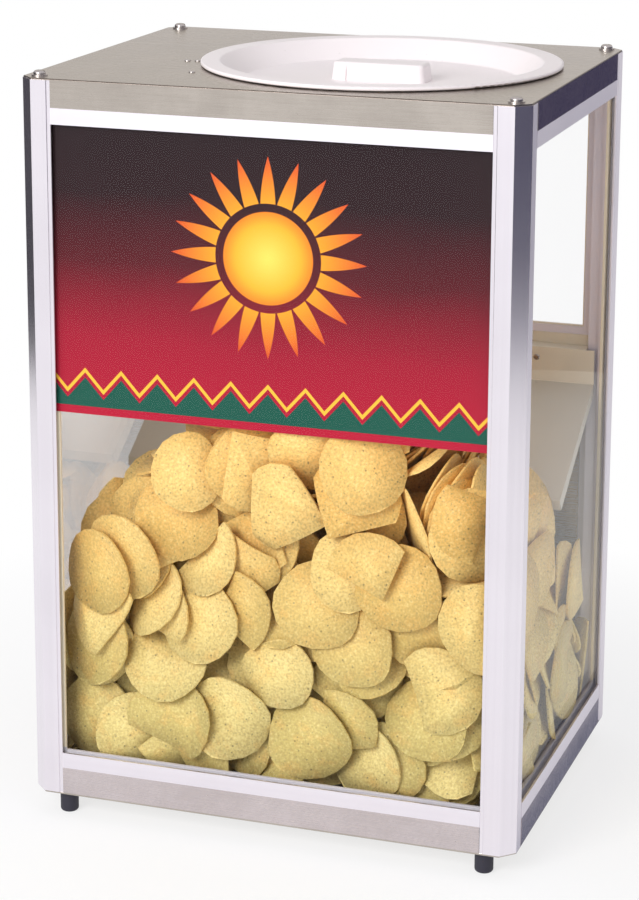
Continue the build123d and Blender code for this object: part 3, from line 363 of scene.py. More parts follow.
BEAD_SHOWS = 0.003          # the most that a bead stands out of a rail
BEAD_GRAIN, BEAD_DEPTH = 0.002, 0.00004
BEAD_ROUGHNESS, BEAD_UNEVEN = 0.4, 0.1
BEAD_LYING = ((206, 202, 206), (220, 216, 222))
BEAD_UPRIGHT = ((240, 226, 198), (250, 238, 214))


def bead_vinyl(name):
    """Glazing bead: cream up the posts, and whitened where it lies on the bottom rails."""
    finish = Finish(name)
    grain = finish.noise(BEAD_GRAIN)
    upright = finish.axis("Z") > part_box("bottom_rail_front")[1].z + BEAD_SHOWS
    lying_tone = finish.blend(grain, *BEAD_LYING)
    upright_tone = finish.blend(grain, *BEAD_UPRIGHT)
    finish.feed("Base Color", finish.blend(upright, lying_tone, upright_tone))
    finish.feed("Roughness", BEAD_ROUGHNESS + grain * BEAD_UNEVEN)
    finish.bump(grain, BEAD_DEPTH)
    return finish.material


ZINC_FLAKE = 1 / 70
ZINC_DARK, ZINC_LIGHT = (150, 155, 158), (192, 195, 197)
ZINC_ROUGHNESS, ZINC_UNEVEN = 0.32, 0.16


def galvanised(name):
    """Zinc-coated sheet with its crystal flakes."""
    finish = Finish(name, Metallic=1.0)
    flakes = finish.cells(ZINC_FLAKE, "Color")
    tone = finish.add("ShaderNodeSeparateColor", None, {"Color": flakes}, "Red")
    finish.feed("Base Color", finish.blend(tone, ZINC_DARK, ZINC_LIGHT))
    finish.feed("Roughness", ZINC_ROUGHNESS + tone * ZINC_UNEVEN)
    return finish.material


HAZE_RAMP = (0.25, 0.36)    # chips leave an oily film on the side panes that ends between these
GLASS_SMOOTH = 0.02
GLASS_SMUDGE, GLASS_UNEVEN = 0.07, 0.3
GLASS_HEAD_ON, GLASS_POWER = 0.03, 5.0      # what glass mirrors head on, and how that rises


def clear_glass(name, reflect, haze, tint):
    """A pane as a thin mirror film: see-through head on, and it reflects more at a slant."""
    finish = Finish(name, Metallic=1.0, Roughness=GLASS_SMOOTH, Base_Color=shade(tint))
    slant = finish.add("ShaderNodeLayerWeight", None, {"Blend": 0.5}, "Facing")
    smudge = 1 - GLASS_UNEVEN / 2 + finish.noise(GLASS_SMUDGE) * GLASS_UNEVEN
    film = reflect + haze * (1.0 - finish.axis("Z").ramp(*HAZE_RAMP))
    mirrored = GLASS_HEAD_ON + slant ** GLASS_POWER * (1 - GLASS_HEAD_ON)
    finish.feed("Alpha", mirrored * smudge * film)
    return finish.material


COAT_CLOUD, COAT_PEEL, COAT_SPECK = 0.05, 0.0016, 0.003
COAT_SPECK_RAMP, COAT_SPECK_SHARE = (0.76, 0.80), 0.3
COAT_DARK, COAT_LIGHT, COAT_SPECK_COLOUR = (244, 236, 236), (250, 243, 243), (180, 172, 170)
COAT_ROUGHNESS, COAT_DEPTH = 0.28, 0.00004


def powder_coat(name):
    """White powder coat with a faint orange peel and a few specks."""
    finish = Finish(name)
    cloud = finish.noise(COAT_CLOUD)
    peel = finish.noise(COAT_PEEL, 2.0)
    specks = finish.noise(COAT_SPECK, 1.0).ramp(*COAT_SPECK_RAMP)
    ground = finish.blend(cloud, COAT_DARK, COAT_LIGHT)
    ground = finish.blend(specks * COAT_SPECK_SHARE, ground, COAT_SPECK_COLOUR)
    finish.feed("Base Color", ground)
    finish.feed("Roughness", COAT_ROUGHNESS + peel * 0.12 + cloud * 0.06)
    finish.bump(peel, COAT_DEPTH)
    return finish.material


# The sign: a sun over a zigzag border, on a ground that runs from maroon to crimson.
SIGN_LOW, SIGN_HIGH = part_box("sign_panel")
SIGN_DRIFT_SIZE, SIGN_DRIFT = 0.09, 0.1
SIGN_GROUND = [
    (0.0, (176, 24, 52)), (0.26, (154, 26, 48)), (0.52, (86, 26, 34)), (0.76, (42, 24, 28)),
    (1.0, (35, 22, 26)),
]
SIGN_BACK = (226, 224, 222)
SIGN_GLOSS, SIGN_ROUGHNESS = 0.15, 0.35
SIGN_UNEVEN_SIZE, SIGN_UNEVEN = 0.02, 0.15
SUN_X, SUN_Z = 0.0, SIGN_LOW.z + 0.128
SUN_DISC, SUN_RING, SUN_REACH = 0.034, 0.040, 0.074
SUN_RAYS = 20
RAY_GAP = 0.1               # the share of a ray's width that is left free at its foot
SUN_STOPS = [(0.0, (252, 214, 96)), (0.7, (244, 176, 52)), (1.0, (232, 128, 38))]
RAY_FOOT, RAY_TIP = (240, 158, 44), (206, 74, 40)
ZIGZAG_PITCH, ZIGZAG_HEIGHT = 0.0286, 0.016
ZIGZAG_FOOT = SIGN_LOW.z + 0.012
ZIGZAG_LINE = 0.0035
ZIGZAG_LINE_RISE = 1.6      # line widths from the band up to the line
HEM_TOP = SIGN_LOW.z + 0.006
ZIGZAG_BAND_COLOUR, ZIGZAG_LINE_COLOUR = (26, 84, 70), (240, 184, 62)
PRINTED_FACE = -0.5         # the front face looks to -Y by more than this


def sign_print(name):
    """The printed panel: only its front face carries the print."""
    finish = Finish(name, Specular_IOR_Level=SIGN_GLOSS)
    x, z = finish.axis("X"), finish.axis("Z")
    height = z.ramp(SIGN_LOW.z, SIGN_HIGH.z)
    drift = finish.noise(SIGN_DRIFT_SIZE) * SIGN_DRIFT - SIGN_DRIFT / 2
    ground = finish.colours((height + drift).clamp(), SIGN_GROUND)
    across, up = x - SUN_X, z - SUN_Z
    reach = (across * across + up * up) ** 0.5
    turn = up.math("ARCTAN2", across) * (SUN_RAYS / math.tau)
    wedge = abs(turn % 1.0 - 0.5) * 2.0
    taper = reach.ramp(SUN_RING, SUN_REACH)
    inside = (reach > SUN_RING) * (reach < SUN_REACH)
    rays = (wedge > taper * (1 - RAY_GAP) + RAY_GAP) * inside
    sun = finish.colours(reach.ramp(0.0, SUN_DISC), SUN_STOPS)
    ray_colour = finish.blend(taper, RAY_FOOT, RAY_TIP)
    step = abs((x / ZIGZAG_PITCH) % 1.0 - 0.5) * (2.0 * ZIGZAG_HEIGHT)
    over = z - ZIGZAG_FOOT - step
    above_hem = z > HEM_TOP
    band = (over < 0.0) * above_hem
    line = (abs(over - ZIGZAG_LINE * ZIGZAG_LINE_RISE) < ZIGZAG_LINE * 0.5) * above_hem
    printed = finish.blend(rays, ground, ray_colour)
    printed = finish.blend(reach < SUN_DISC, printed, sun)
    printed = finish.blend(band, printed, ZIGZAG_BAND_COLOUR)
    printed = finish.blend(line, printed, ZIGZAG_LINE_COLOUR)
    front = finish.facing("Y") < PRINTED_FACE
    finish.feed("Base Color", finish.blend(front, SIGN_BACK, printed))
    finish.feed("Roughness", SIGN_ROUGHNESS + finish.noise(SIGN_UNEVEN_SIZE, 2.0) * SIGN_UNEVEN)
    return finish.material


# The baffle: a face that ends in a plate, which slopes down towards the front to its toe.
BAFFLE_SLOPE = math.radians(32)
BAFFLE_TOE_Y, BAFFLE_TOE_Z = 0.0125, 0.2385
BAFFLE_FACE_Y = 0.1177
BAFFLE_LIP = 0.007


def baffle_height(y):
    """Height of the sloping plate over y, for y behind its toe."""
    return BAFFLE_TOE_Z + (y - BAFFLE_TOE_Y) * math.tan(BAFFLE_SLOPE)


SLOT_OF = {part["node"]: part["material_slot"] for part in frame["record"]["subparts"]}
# Extrusions along each axis, and the duller ones at the back: how metallic and how rough.
EXTRUSIONS = {
    "x": (1.0, 0.34),
    "y": (0.9, 0.30),
    "z": (1.0, 0.20),
    "x_rear": (0.3, 0.42),
    "z_rear": (0.3, 0.38),
}
LINES = {key: aluminium("aluminium_" + key, key[0], *look) for key, look in EXTRUSIONS.items()}
# Each pane: how much it reflects, how much more its film does, and its tint.
PANE_LOOKS = {
    "glass_front": (0.12, 0.0, 250),
    # the left pane really mirrors the scene, and its tan tint is a painted reflection of the warm
    # interior
    "glass_left": (2.2, 1.0, (240, 220, 202)),
    "glass_right": (0.10, 0.3, 240),
    "glass_rear_upper": (0.05, 0.0, 250),
}
PANES = {name: clear_glass("pane_" + name, *look) for name, look in PANE_LOOKS.items()}
# Sheets that differ from the rest of the stainless steel.
OWN_FINISHES = {
    # painted light: the base pan is the stainless sheet in lighter colours, for the brighter light on
    # the skirt
    "base_pan": stainless("pan_sheet_painted_light", "x", 1.0, 0.0, (180, 170, 170), (217, 207, 209)),
    # painted shade: the baffle's sloping plate is darker below the foot of its face
    "hopper_baffle": stainless(
        "baffle_sheet", "x", 0.4, 0.2, (222, 214, 194), (244, 236, 216),
        painted_shade_top=baffle_height(BAFFLE_FACE_Y),
    ),
}
FINISHES = {
    "stainless_sheet": stainless("stainless", "x", 1.0, 0.0, (162, 154, 146), (196, 188, 180)),
    "fastener_steel": plain("fastener_steel", (196, 190, 186), 0.28, 1.0),
    "foot_rubber": plain("foot_rubber", (38, 36, 50), 0.6),
    "sign_print": sign_print("sign_print"),
    "bead_vinyl": bead_vinyl("bead_vinyl"),
    "lid_white": powder_coat("lid_coat"),
    "magnet_plastic": plain("magnet_plastic", (222, 221, 214), 0.45),
    "galvanised_sheet": galvanised("galvanised"),
    "fan_plastic": plain("fan_plastic", (34, 34, 36), 0.45),
    "element_sheath": plain("element_sheath", (120, 96, 80), 0.45, 1.0),
    "thermostat_resin": plain("thermostat_resin", (120, 60, 34), 0.4),
    "switch_plastic": plain("switch_plastic", (26, 26, 28), 0.4),
    "gland_nylon": plain("gland_nylon", (44, 44, 48), 0.5),
}


def finish_of(node):
    """The material that a CAD node wears."""
    slot = SLOT_OF[node]
    if slot == "clear_glass":
        return PANES[node]
    if node in OWN_FINISHES:
        return OWN_FINISHES[node]
    if slot != "frame_aluminium":
        return FINISHES[slot]
    if node.endswith(("_left", "_right")) and not node.startswith("post"):
        return LINES["y"]
    letter = "z" if node.startswith("post") else "x"
    return LINES[letter if "front" in node else letter + "_rear"]


for node_name, node_object in NODES.items():
    for material_slot in node_object.material_slots:
        material_slot.material = finish_of(node_name)


# ---- one chip ----
# Thin round corn chips, bent as they fried, some of them broken.
CHIP_RADIUS = 0.0338
CHIP_THICKNESS = 0.0015
CHIP_COLUMNS = 9
CHIP_OUTLINE_STEPS = 72
CHIP_UNEVEN = ((3, 1, 0.024), (5, 2, 0.014))    # waves round the edge: count, phase and share
CHIP_PHASE = 40                                 # turns each size's waves another way
CHIP_FLATTER = 0.75     # chips are this much flatter than the bodies that are settled for them
BOWL_CENTRE, FOLD_CENTRE = 0.4, 0.5             # shares of the bend that keep a chip centred
WAVE_TURN, FOLD_POWER = 2.6, 1.2
LEAST_COLUMN = 0.0008       # columns are at least this far apart
SAME_PLACE = 1e-9           # a point that is this near to a break's line lies on it
MERGED = 1e-5               # a hull's points that are this near to each other are one

# A chip: its radius share, oval share, bend and twist in metres, the form of the bend, its broken
# edges as (direction, distance share), and its part of the heap.
Chip = namedtuple("Chip", "size oval bend twist form breaks part")
CHIP_SHAPES = [
    Chip(0.97, 0.02, 0.0055, 0.0020, "bowl", (), 5),
    Chip(1.02, 0.00, 0.0030, -0.0030, "bowl", (), 5),
    Chip(0.88, 0.04, 0.0080, 0.0000, "bowl", (), 4),
    Chip(0.95, 0.03, 0.0040, 0.0040, "wave", (), 5),
    Chip(1.00, 0.01, 0.0020, -0.0020, "wave", (), 4),
    Chip(0.92, -0.03, 0.0085, 0.0020, "fold", (), 4),
    Chip(0.98, 0.00, 0.0120, -0.0030, "bowl", (), 4),
    Chip(0.95, 0.02, 0.0170, 0.0000, "bowl", (), 3),
    Chip(0.97, 0.00, 0.0040, 0.0020, "bowl", ((0.6, 0.35),), 4),
    Chip(0.98, 0.01, 0.0060, 0.0020, "wave", ((2.2, 0.50), (4.4, 0.55)), 4),
    Chip(1.00, 0.00, 0.0050, 0.0000, "bowl", ((3.6, 0.05),), 3),
    Chip(0.98, 0.02, 0.0110, 0.0010, "fold", ((1.2, 0.60),), 4),
    Chip(0.84, 0.05, 0.0035, -0.0020, "wave", (), 4),
    Chip(1.00, 0.00, 0.0040, 0.0010, "bowl", ((0.3, 0.10), (2.0, 0.25)), 3),
    Chip(1.02, 0.00, 0.0070, 0.0030, "wave", ((5.2, 0.70), (1.0, 0.72), (2.6, 0.65)), 5),
    Chip(1.00, 0.02, 0.0080, -0.0020, "bowl", ((4.0, 0.30), (5.6, 0.45)), 4),
]


def chip_height(shape, x, y, flatter):
    """Height of a chip's middle surface over a point of its outline."""
    bend, twist = shape.bend * flatter, shape.twist * flatter
    along = x / (CHIP_RADIUS * shape.size)
    height = twist * along * y / (CHIP_RADIUS * shape.size)
    if shape.form == "bowl":
        return height + bend * (along * along - BOWL_CENTRE)
    if shape.form == "wave":
        return height + bend * math.sin(WAVE_TURN * along)
    return height + bend * (abs(along) ** FOLD_POWER - FOLD_CENTRE)


def past_line(point, direction, distance):
    """How far a point lies past a straight line that is given by its normal's direction."""
    return point[0] * math.cos(direction) + point[1] * math.sin(direction) - distance


def broken(points, direction, distance):
    """A closed outline with all that lies past a straight line cut off."""
    kept = []
    for first, second in zip(points, points[1:] + points[:1]):
        past_first = past_line(first, direction, distance)
        past_second = past_line(second, direction, distance)
        if past_first <= 0:
            kept.append(first)
        if (past_first <= 0) != (past_second <= 0):
            share = past_first / (past_first - past_second)
            kept.append(tuple(a + (b - a) * share for a, b in zip(first, second)))
    return kept


def chip_outline(shape):
    """The edge of a chip: an uneven circle with its broken edges."""
    radius, phase = CHIP_RADIUS * shape.size, CHIP_PHASE * shape.size
    points = []
    for step in range(CHIP_OUTLINE_STEPS):
        angle = math.tau * step / CHIP_OUTLINE_STEPS
        uneven = 1
        for waves, turns, share in CHIP_UNEVEN:
            uneven += share * math.sin(waves * angle + turns * phase)
        reach = radius * uneven
        x = reach * (1 + shape.oval) * math.cos(angle)
        y = reach * (1 - shape.oval) * math.sin(angle)
        points.append((x, y))
    for direction, distance in shape.breaks:
        points = broken(points, direction, distance * radius)
    return points


def crossing(points, x, pick):
    """Where an outline crosses a line of equal x: its lowest or highest y there."""
    found = []
    for (x0, y0), (x1, y1) in zip(points, points[1:] + points[:1]):
        if min(x0, x1) <= x <= max(x0, x1):
            found.append(y0 if x0 == x1 else y0 + (y1 - y0) * (x - x0) / (x1 - x0))
    return pick(found)


def chip_columns(shape):
    """The chip cut into columns across its bend: (x, lowest y, highest y) of each."""
    points = chip_outline(shape)
    low, high = min(points)[0], max(points)[0]
    middle, half = (low + high) / 2, (high - low) / 2
    xs = [middle - half * math.cos(math.pi * step / CHIP_COLUMNS) for step in range(CHIP_COLUMNS + 1)]
    xs[0], xs[-1] = low, high
    for direction, distance in shape.breaks:
        line = distance * CHIP_RADIUS * shape.size
        xs += [point[0] for point in points if abs(past_line(point, direction, line)) < SAME_PLACE]
    xs = sorted(xs)
    xs = [x for x, before in zip(xs, [-1.0] + xs) if x - before > LEAST_COLUMN]
    return [(x, crossing(points, x, min), crossing(points, x, max)) for x in xs]


def chip_points(shape, flatter):
    """The four points of each column: both ends of its upper side, then of its lower side."""
    points = []
    for x, low, high in chip_columns(shape):
        for y, side in ((low, 0.5), (high, 0.5), (high, -0.5), (low, -0.5)):
            points.append((x, y, chip_height(shape, x, y, flatter) + side * CHIP_THICKNESS))
    return points


def chip_mesh(name, shape):
    """A thin bent chip: a tube of four-sided columns, closed at both ends."""
    points = chip_points(shape, CHIP_FLATTER)
    sides = len(QUAD)
    faces = [QUAD, tuple(len(points) - 1 - corner for corner in QUAD)]
    smooth = [False, False]
    for first in range(0, len(points) - sides, sides):
        second = first + sides
        for corner in QUAD:
            after = (corner + 1) % sides
            faces.append((first + after, first + corner, second + corner, second + after))
            smooth.append(corner % 2 == 0)      # the upper and lower sides, not the rims
    mesh = bpy.data.meshes.new(name)
    mesh.from_pydata(points, [], faces)
    mesh.polygons.foreach_set("use_smooth", smooth)
    mesh.update()
    return mesh


# ---- the heap ----
# The chips are poured in from above and left to settle between the panes and the baffle.
CHIP_COUNT = 1220
CHIP_SEED = 11
WALL_GAP = 0.0006           # between a pane or the door and the chips that lean on it
PANE_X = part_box("glass_right")[0].x - WALL_GAP
PANE_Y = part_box("glass_front")[1].y + WALL_GAP
DOOR_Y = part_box("service_door")[0].y - WALL_GAP
PAN_TOP = 0.0397            # the floor that they lie on
REAR_SLOPE = math.radians(47)       # chips that have run under the baffle lie at this angle

# The heap's outline over the plan: a ridge across, lower to both sides and towards the back.
RIDGE_X, RIDGE_Z = 0.02, 0.328
RIDGE_FALL_LEFT, RIDGE_FALL_RIGHT = 0.110, 0.072
RIDGE_HALF, RIDGE_POWER = 0.165, 2.7
CREST_Y, CREST_REACH, CREST_RISE = -0.085, 0.07, 0.014
BACK_Y, BACK_FALL, BACK_Z = -0.04, 2.2, 0.2
TOP_MARGIN = 0.012          # upper edges may pass the outline by this, but not on the baffle

# Where chips start: the share of the width, the distance from front and back, and the heights.
START_WIDTH, START_INSET, START_TOP = 0.93, 0.016, 0.35
START_UNDER = 0.02          # behind the baffle they start this far below it
START_FLOOR, START_SPREAD = 0.05, 1.4
WALL_REACH = 0.06           # nearer to a wall than this, they start partly turned to lie on it
OWN_TURN, WALL_TURN, WALL_TILT = 0.45, 0.55, 0.2

# Settling. Bodies of under a decimetre settle badly, so they are settled ten times as large.
SETTLE_FRAMES, SETTLE_SUBSTEPS, SETTLE_STEPS = 100, 5, 8
SETTLE_SCALE = 10.0
GRAVITY, GRAVITY_SHARE = -9.81, 0.6
CHIP_FRICTION, CHIP_MARGIN, CHIP_MASS = 0.95, 0.003, 0.1
SLIDE_DAMPING, TURN_DAMPING = 0.3, 0.55
UPPER_EDGE = 0.8            # a chip's upper edge is this share of its radius over its centre

# The settling's walls are wider and higher than the cabinet's, so that no chip slips past them.
WALL_THICK, WALL_HALF, WALL_TOP = 0.06, 0.3, 1.2
LEDGE_BACK_Y = 0.14         # the ledge over the baffle reaches back to here
# The cabinet's own pieces that stand as walls too.
OWN_WALLS = (
    "bottom_rail_front", "bottom_rail_left", "bottom_rail_right", "sign_panel",
    "post_front_left", "post_front_right", "post_rear_left", "post_rear_right",
)


def convex(name, points):
    """The convex hull of some points, as a mesh."""
    shell = bmesh.new()
    for point in points:
        shell.verts.new(point)
    bmesh.ops.remove_doubles(shell, verts=shell.verts, dist=MERGED)
    made = bmesh.ops.convex_hull(shell, input=shell.verts)
    spare = [item for item in made["geom_interior"] if isinstance(item, bmesh.types.BMVert)]
    bmesh.ops.delete(shell, geom=spare, context="VERTS")
    mesh = bpy.data.meshes.new(name)
    shell.to_mesh(mesh)
    shell.free()
    return mesh


def hull_mesh(name, shape):
    """A chip as one convex body, for the settling."""
    return convex(name, [Vector(point) * SETTLE_SCALE for point in chip_points(shape, 1.0)])


def pile_top(x, y):
    """Height of the heap: highest near the middle, low at the sides, falling to the back."""
    fall = RIDGE_FALL_LEFT if x < RIDGE_X else RIDGE_FALL_RIGHT
    ridge = RIDGE_Z - fall * (abs(x - RIDGE_X) / RIDGE_HALF) ** RIDGE_POWER
    ridge += CREST_RISE * (1 - min(1.0, abs(y - CREST_Y) / CREST_REACH))
    return ridge - max(0.0, y - BACK_Y) * BACK_FALL * (ridge - BACK_Z)


def under_baffle_top(y):
    """Height of the chips that have run under the baffle, at their angle of rest."""
    return BAFFLE_TOE_Z - BAFFLE_LIP - (y - BAFFLE_TOE_Y) * math.tan(REAR_SLOPE)


def room_at(x, y, z):
    """Whether a point is inside the heap."""
    if y < BAFFLE_TOE_Y:
        return z < pile_top(x, y)
    if z < baffle_height(y):
        return z < under_baffle_top(y)
    return z < pile_top(x, y) - TOP_MARGIN


def chip_starts():
    """Where each chip starts: its shape, place and turn."""
    chance = random.Random(CHIP_SEED)
    kinds, parts = range(len(CHIP_SHAPES)), [shape.part for shape in CHIP_SHAPES]
    starts = []
    while len(starts) < CHIP_COUNT:
        x = chance.uniform(-PANE_X, PANE_X) * START_WIDTH
        y = chance.uniform(PANE_Y + START_INSET, DOOR_Y - START_INSET)
        z = chance.uniform(PAN_TOP, START_TOP)
        behind = y > BAFFLE_TOE_Y and z < baffle_height(y) - START_UNDER
        if not (behind or room_at(x, y, z)):
            continue
        height = START_FLOOR + (z - PAN_TOP) * (1.0 if behind else START_SPREAD)
        gaps = {(-1, 0): x + PANE_X, (1, 0): PANE_X - x, (0, -1): y - PANE_Y, (0, 1): DOOR_Y - y}
        wall = min(gaps, key=gaps.get)
        facing = Vector([chance.gauss(0, 1) for _ in range(3)]).normalized()
        if gaps[wall] < WALL_REACH:
            facing = (facing * OWN_TURN + Vector((*wall, WALL_TILT)) * WALL_TURN).normalized()
        turn = facing.to_track_quat("Z", "Y") @ Quaternion((0, 0, 1), chance.uniform(0, math.tau))
        kind = chance.choices(kinds, parts)[0]
        starts.append((kind, Vector((x, y, height)), turn))
    return starts


def settle_body(world, name, mesh, place=UNSHIFTED, active=False):
    """One rigid body of the settling."""
    body = link(name, mesh)
    body.location = place
    world.collection.objects.link(body)
    rigid = body.rigid_body
    rigid.type = "ACTIVE" if active else "PASSIVE"
    rigid.collision_shape = "CONVEX_HULL"
    rigid.friction = CHIP_FRICTION
    rigid.restitution = 0.0
    rigid.use_margin = True
    rigid.collision_margin = CHIP_MARGIN
    if active:
        rigid.mass = CHIP_MASS
        rigid.linear_damping = SLIDE_DAMPING
        rigid.angular_damping = TURN_DAMPING
    return body


def block(world, name, low, high):
    """A fixed block between two corners in metres."""
    corners = itertools.product(*zip(low, high))
    return settle_body(world, name, convex(name, [Vector(c) * SETTLE_SCALE for c in corners]))


def make_container(world):
    """The walls that the chips settle in: panes, floor, posts, rails, sign and baffle."""
    half, thick, top = WALL_HALF, WALL_THICK, WALL_TOP
    made = [
        block(world, "wall", (-half, -half, PAN_TOP - thick), (half, half, PAN_TOP)),
        block(world, "wall", (-PANE_X - thick, -half, 0), (-PANE_X, half, top)),
        block(world, "wall", (PANE_X, -half, 0), (PANE_X + thick, half, top)),
        block(world, "wall", (-half, PANE_Y - thick, 0), (half, PANE_Y, top)),
        block(world, "wall", (-half, DOOR_Y, 0), (half, DOOR_Y + thick, top)),
    ]
    made += [block(world, name, *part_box(name)) for name in OWN_WALLS]
    foot = baffle_height(BAFFLE_FACE_Y)
    low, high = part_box("hopper_baffle")
    low, high = (low.x, BAFFLE_FACE_Y, foot), (high.x, LEDGE_BACK_Y, high.z)
    made.append(block(world, "ledge", low, high))
    plate = [(BAFFLE_FACE_Y, foot), (BAFFLE_FACE_Y, foot - BAFFLE_LIP),
             (BAFFLE_TOE_Y, BAFFLE_TOE_Z), (BAFFLE_TOE_Y, BAFFLE_TOE_Z - BAFFLE_LIP)]
    corners = [Vector((x, y, z)) * SETTLE_SCALE for x in (-PANE_X, PANE_X) for y, z in plate]
    made.append(settle_body(world, "slope", convex("slope", corners)))
    return made


def settled(starts):
    """Each chip's matrix after it has come to rest."""
    scene = bpy.context.scene
    bpy.ops.rigidbody.world_add()
    world = scene.rigidbody_world
    world.collection = world.collection or bpy.data.collections.new("settling")
    world.substeps_per_frame = SETTLE_SUBSTEPS
    world.solver_iterations = SETTLE_STEPS
    world.point_cache.frame_start = 1
    world.point_cache.frame_end = SETTLE_FRAMES
    scene.gravity = (0, 0, GRAVITY * SETTLE_SCALE * GRAVITY_SHARE)
    made = make_container(world)
    hulls = [hull_mesh("hull", shape) for shape in CHIP_SHAPES]
    chips = []
    for kind, place, turn in starts:
        chip = settle_body(world, "chip", hulls[kind], place * SETTLE_SCALE, True)
        chip.rotation_mode = "QUATERNION"
        chip.rotation_quaternion = turn
        chips.append(chip)
    for number in range(1, SETTLE_FRAMES + 1):
        scene.frame_set(number)
    graph = bpy.context.evaluated_depsgraph_get()
    ends = [chip.evaluated_get(graph).matrix_world.copy() for chip in chips]
    for body in made + chips:
        bpy.data.objects.remove(body)
    bpy.ops.rigidbody.world_remove()
    scene.frame_set(1)
    for end in ends:
        end.translation /= SETTLE_SCALE
    return ends


def inside_heap(end):
    """Whether a settled chip lies between the walls and under the heap's outline."""
    x, y, z = end.translation
    upright = math.sqrt(max(0.0, 1 - end.col[2].z ** 2))
    top = z + CHIP_RADIUS * upright * UPPER_EDGE
    return abs(x) < PANE_X and PANE_Y < y < DOOR_Y and room_at(x, y, top - TOP_MARGIN)


def chip_places():
    """The kind and matrix of every chip in the heap."""
    starts = chip_starts()
    ends = settled(starts)
    return [(start[0], end) for start, end in zip(starts, ends) if inside_heap(end)]


def chips_tree(name):
    """Geometry Nodes: one chip shape at each point, turned as the point says."""
    tree = bpy.data.node_groups.new(name, "GeometryNodeTree")
    inputs = {"Geometry": "Geometry", "Shapes": "Collection", "Size": "Float", "Finish": "Material"}
    for title, kind in inputs.items():
        tree.interface.new_socket(title, in_out="INPUT", socket_type="NodeSocket" + kind)
    tree.interface.new_socket("Geometry", in_out="OUTPUT", socket_type="NodeSocketGeometry")
    add, wire = tree.nodes.new, tree.links.new

    def stored(title, data_type):
        """What the points carry under a name."""
        node = add("GeometryNodeInputNamedAttribute")
        node.data_type = data_type
        node.inputs["Name"].default_value = title
        return node.outputs["Attribute"]

    entry, leave = add("NodeGroupInput"), add("NodeGroupOutput")
    shapes = add("GeometryNodeCollectionInfo")
    shapes.inputs["Separate Children"].default_value = True
    shapes.inputs["Reset Children"].default_value = True
    rotation = add("FunctionNodeEulerToRotation")
    spread = add("GeometryNodeInstanceOnPoints")
    spread.inputs["Pick Instance"].default_value = True
    realize, wear = add("GeometryNodeRealizeInstances"), add("GeometryNodeSetMaterial")
    wire(entry.outputs["Shapes"], shapes.inputs["Collection"])
    wire(entry.outputs["Geometry"], spread.inputs["Points"])
    wire(shapes.outputs[0], spread.inputs["Instance"])
    wire(stored("kind", "INT"), spread.inputs["Instance Index"])
    wire(stored("turn", "FLOAT_VECTOR"), rotation.inputs[0])
    wire(rotation.outputs[0], spread.inputs["Rotation"])
    wire(entry.outputs["Size"], spread.inputs["Scale"])
    wire(spread.outputs[0], realize.inputs[0])
    wire(realize.outputs[0], wear.inputs["Geometry"])
    wire(entry.outputs["Finish"], wear.inputs["Material"])
    wire(wear.outputs[0], leave.inputs[0])
    return tree


def grown(name, seed_mesh, tree, inputs):
    """The plain mesh that a tree makes from a seed mesh, as a new object."""
    seed = link(name + "_seed", seed_mesh)
    modifier = seed.modifiers.new("nodes", "NODES")
    modifier.node_group = tree
    for item in tree.interface.items_tree:
        if item.item_type == "SOCKET" and item.in_out == "INPUT" and item.name in inputs:
            modifier[item.identifier] = inputs[item.name]
    graph = bpy.context.evaluated_depsgraph_get()
    mesh = bpy.data.meshes.new_from_object(seed.evaluated_get(graph))
    bpy.data.objects.remove(seed)
    return link(name, mesh)


CORN_PATCH, CORN_BLISTER, CORN_MOTTLE, CORN_GRIT = 0.016, 0.010, 0.0018, 0.0010
CORN_FLECK, CORN_SMALL_FLECK = 0.0060, 0.0029
# painted light: the warm lamp's glow is painted in, from pale low in the heap to golden at its top
CORN_GLOW_RAMP = (0.10, 0.32)         # pale low in the heap, golden at its top
CORN_PATCH_RAMP, CORN_DULL_RAMP, CORN_PALE_RAMP = (0.52, 0.74), (0.48, 0.64), (0.46, 0.30)
CORN_FLECK_RAMP, CORN_SMALL_FLECK_RAMP = (0.08, 0.15), (0.12, 0.25)
# painted light: the colours below the glow, and in the glow at the heap's top
CORN_BELOW_GLOW, CORN_WARM_GLOW = ((206, 186, 110), (230, 210, 136)), ((240, 184, 94), (251, 206, 120))
CORN_TOASTED, CORN_DULL, CORN_PALE = (238, 180, 90), (186, 158, 96), (255, 240, 176)
CORN_FLECK_COLOUR, CORN_SMALL_FLECK_COLOUR = (104, 88, 58), (146, 126, 80)
CORN_TOASTED_SHARE, CORN_DULL_SHARE, CORN_PALE_SHARE = 0.35, 0.5, 0.35
CORN_FLECK_SHARE, CORN_SMALL_FLECK_SHARE = 0.65, 0.45
CORN_ROUGHNESS, CORN_UNEVEN = 0.55, 0.2
CORN_DEPTH, CORN_RELIEF = 0.0004, 0.7


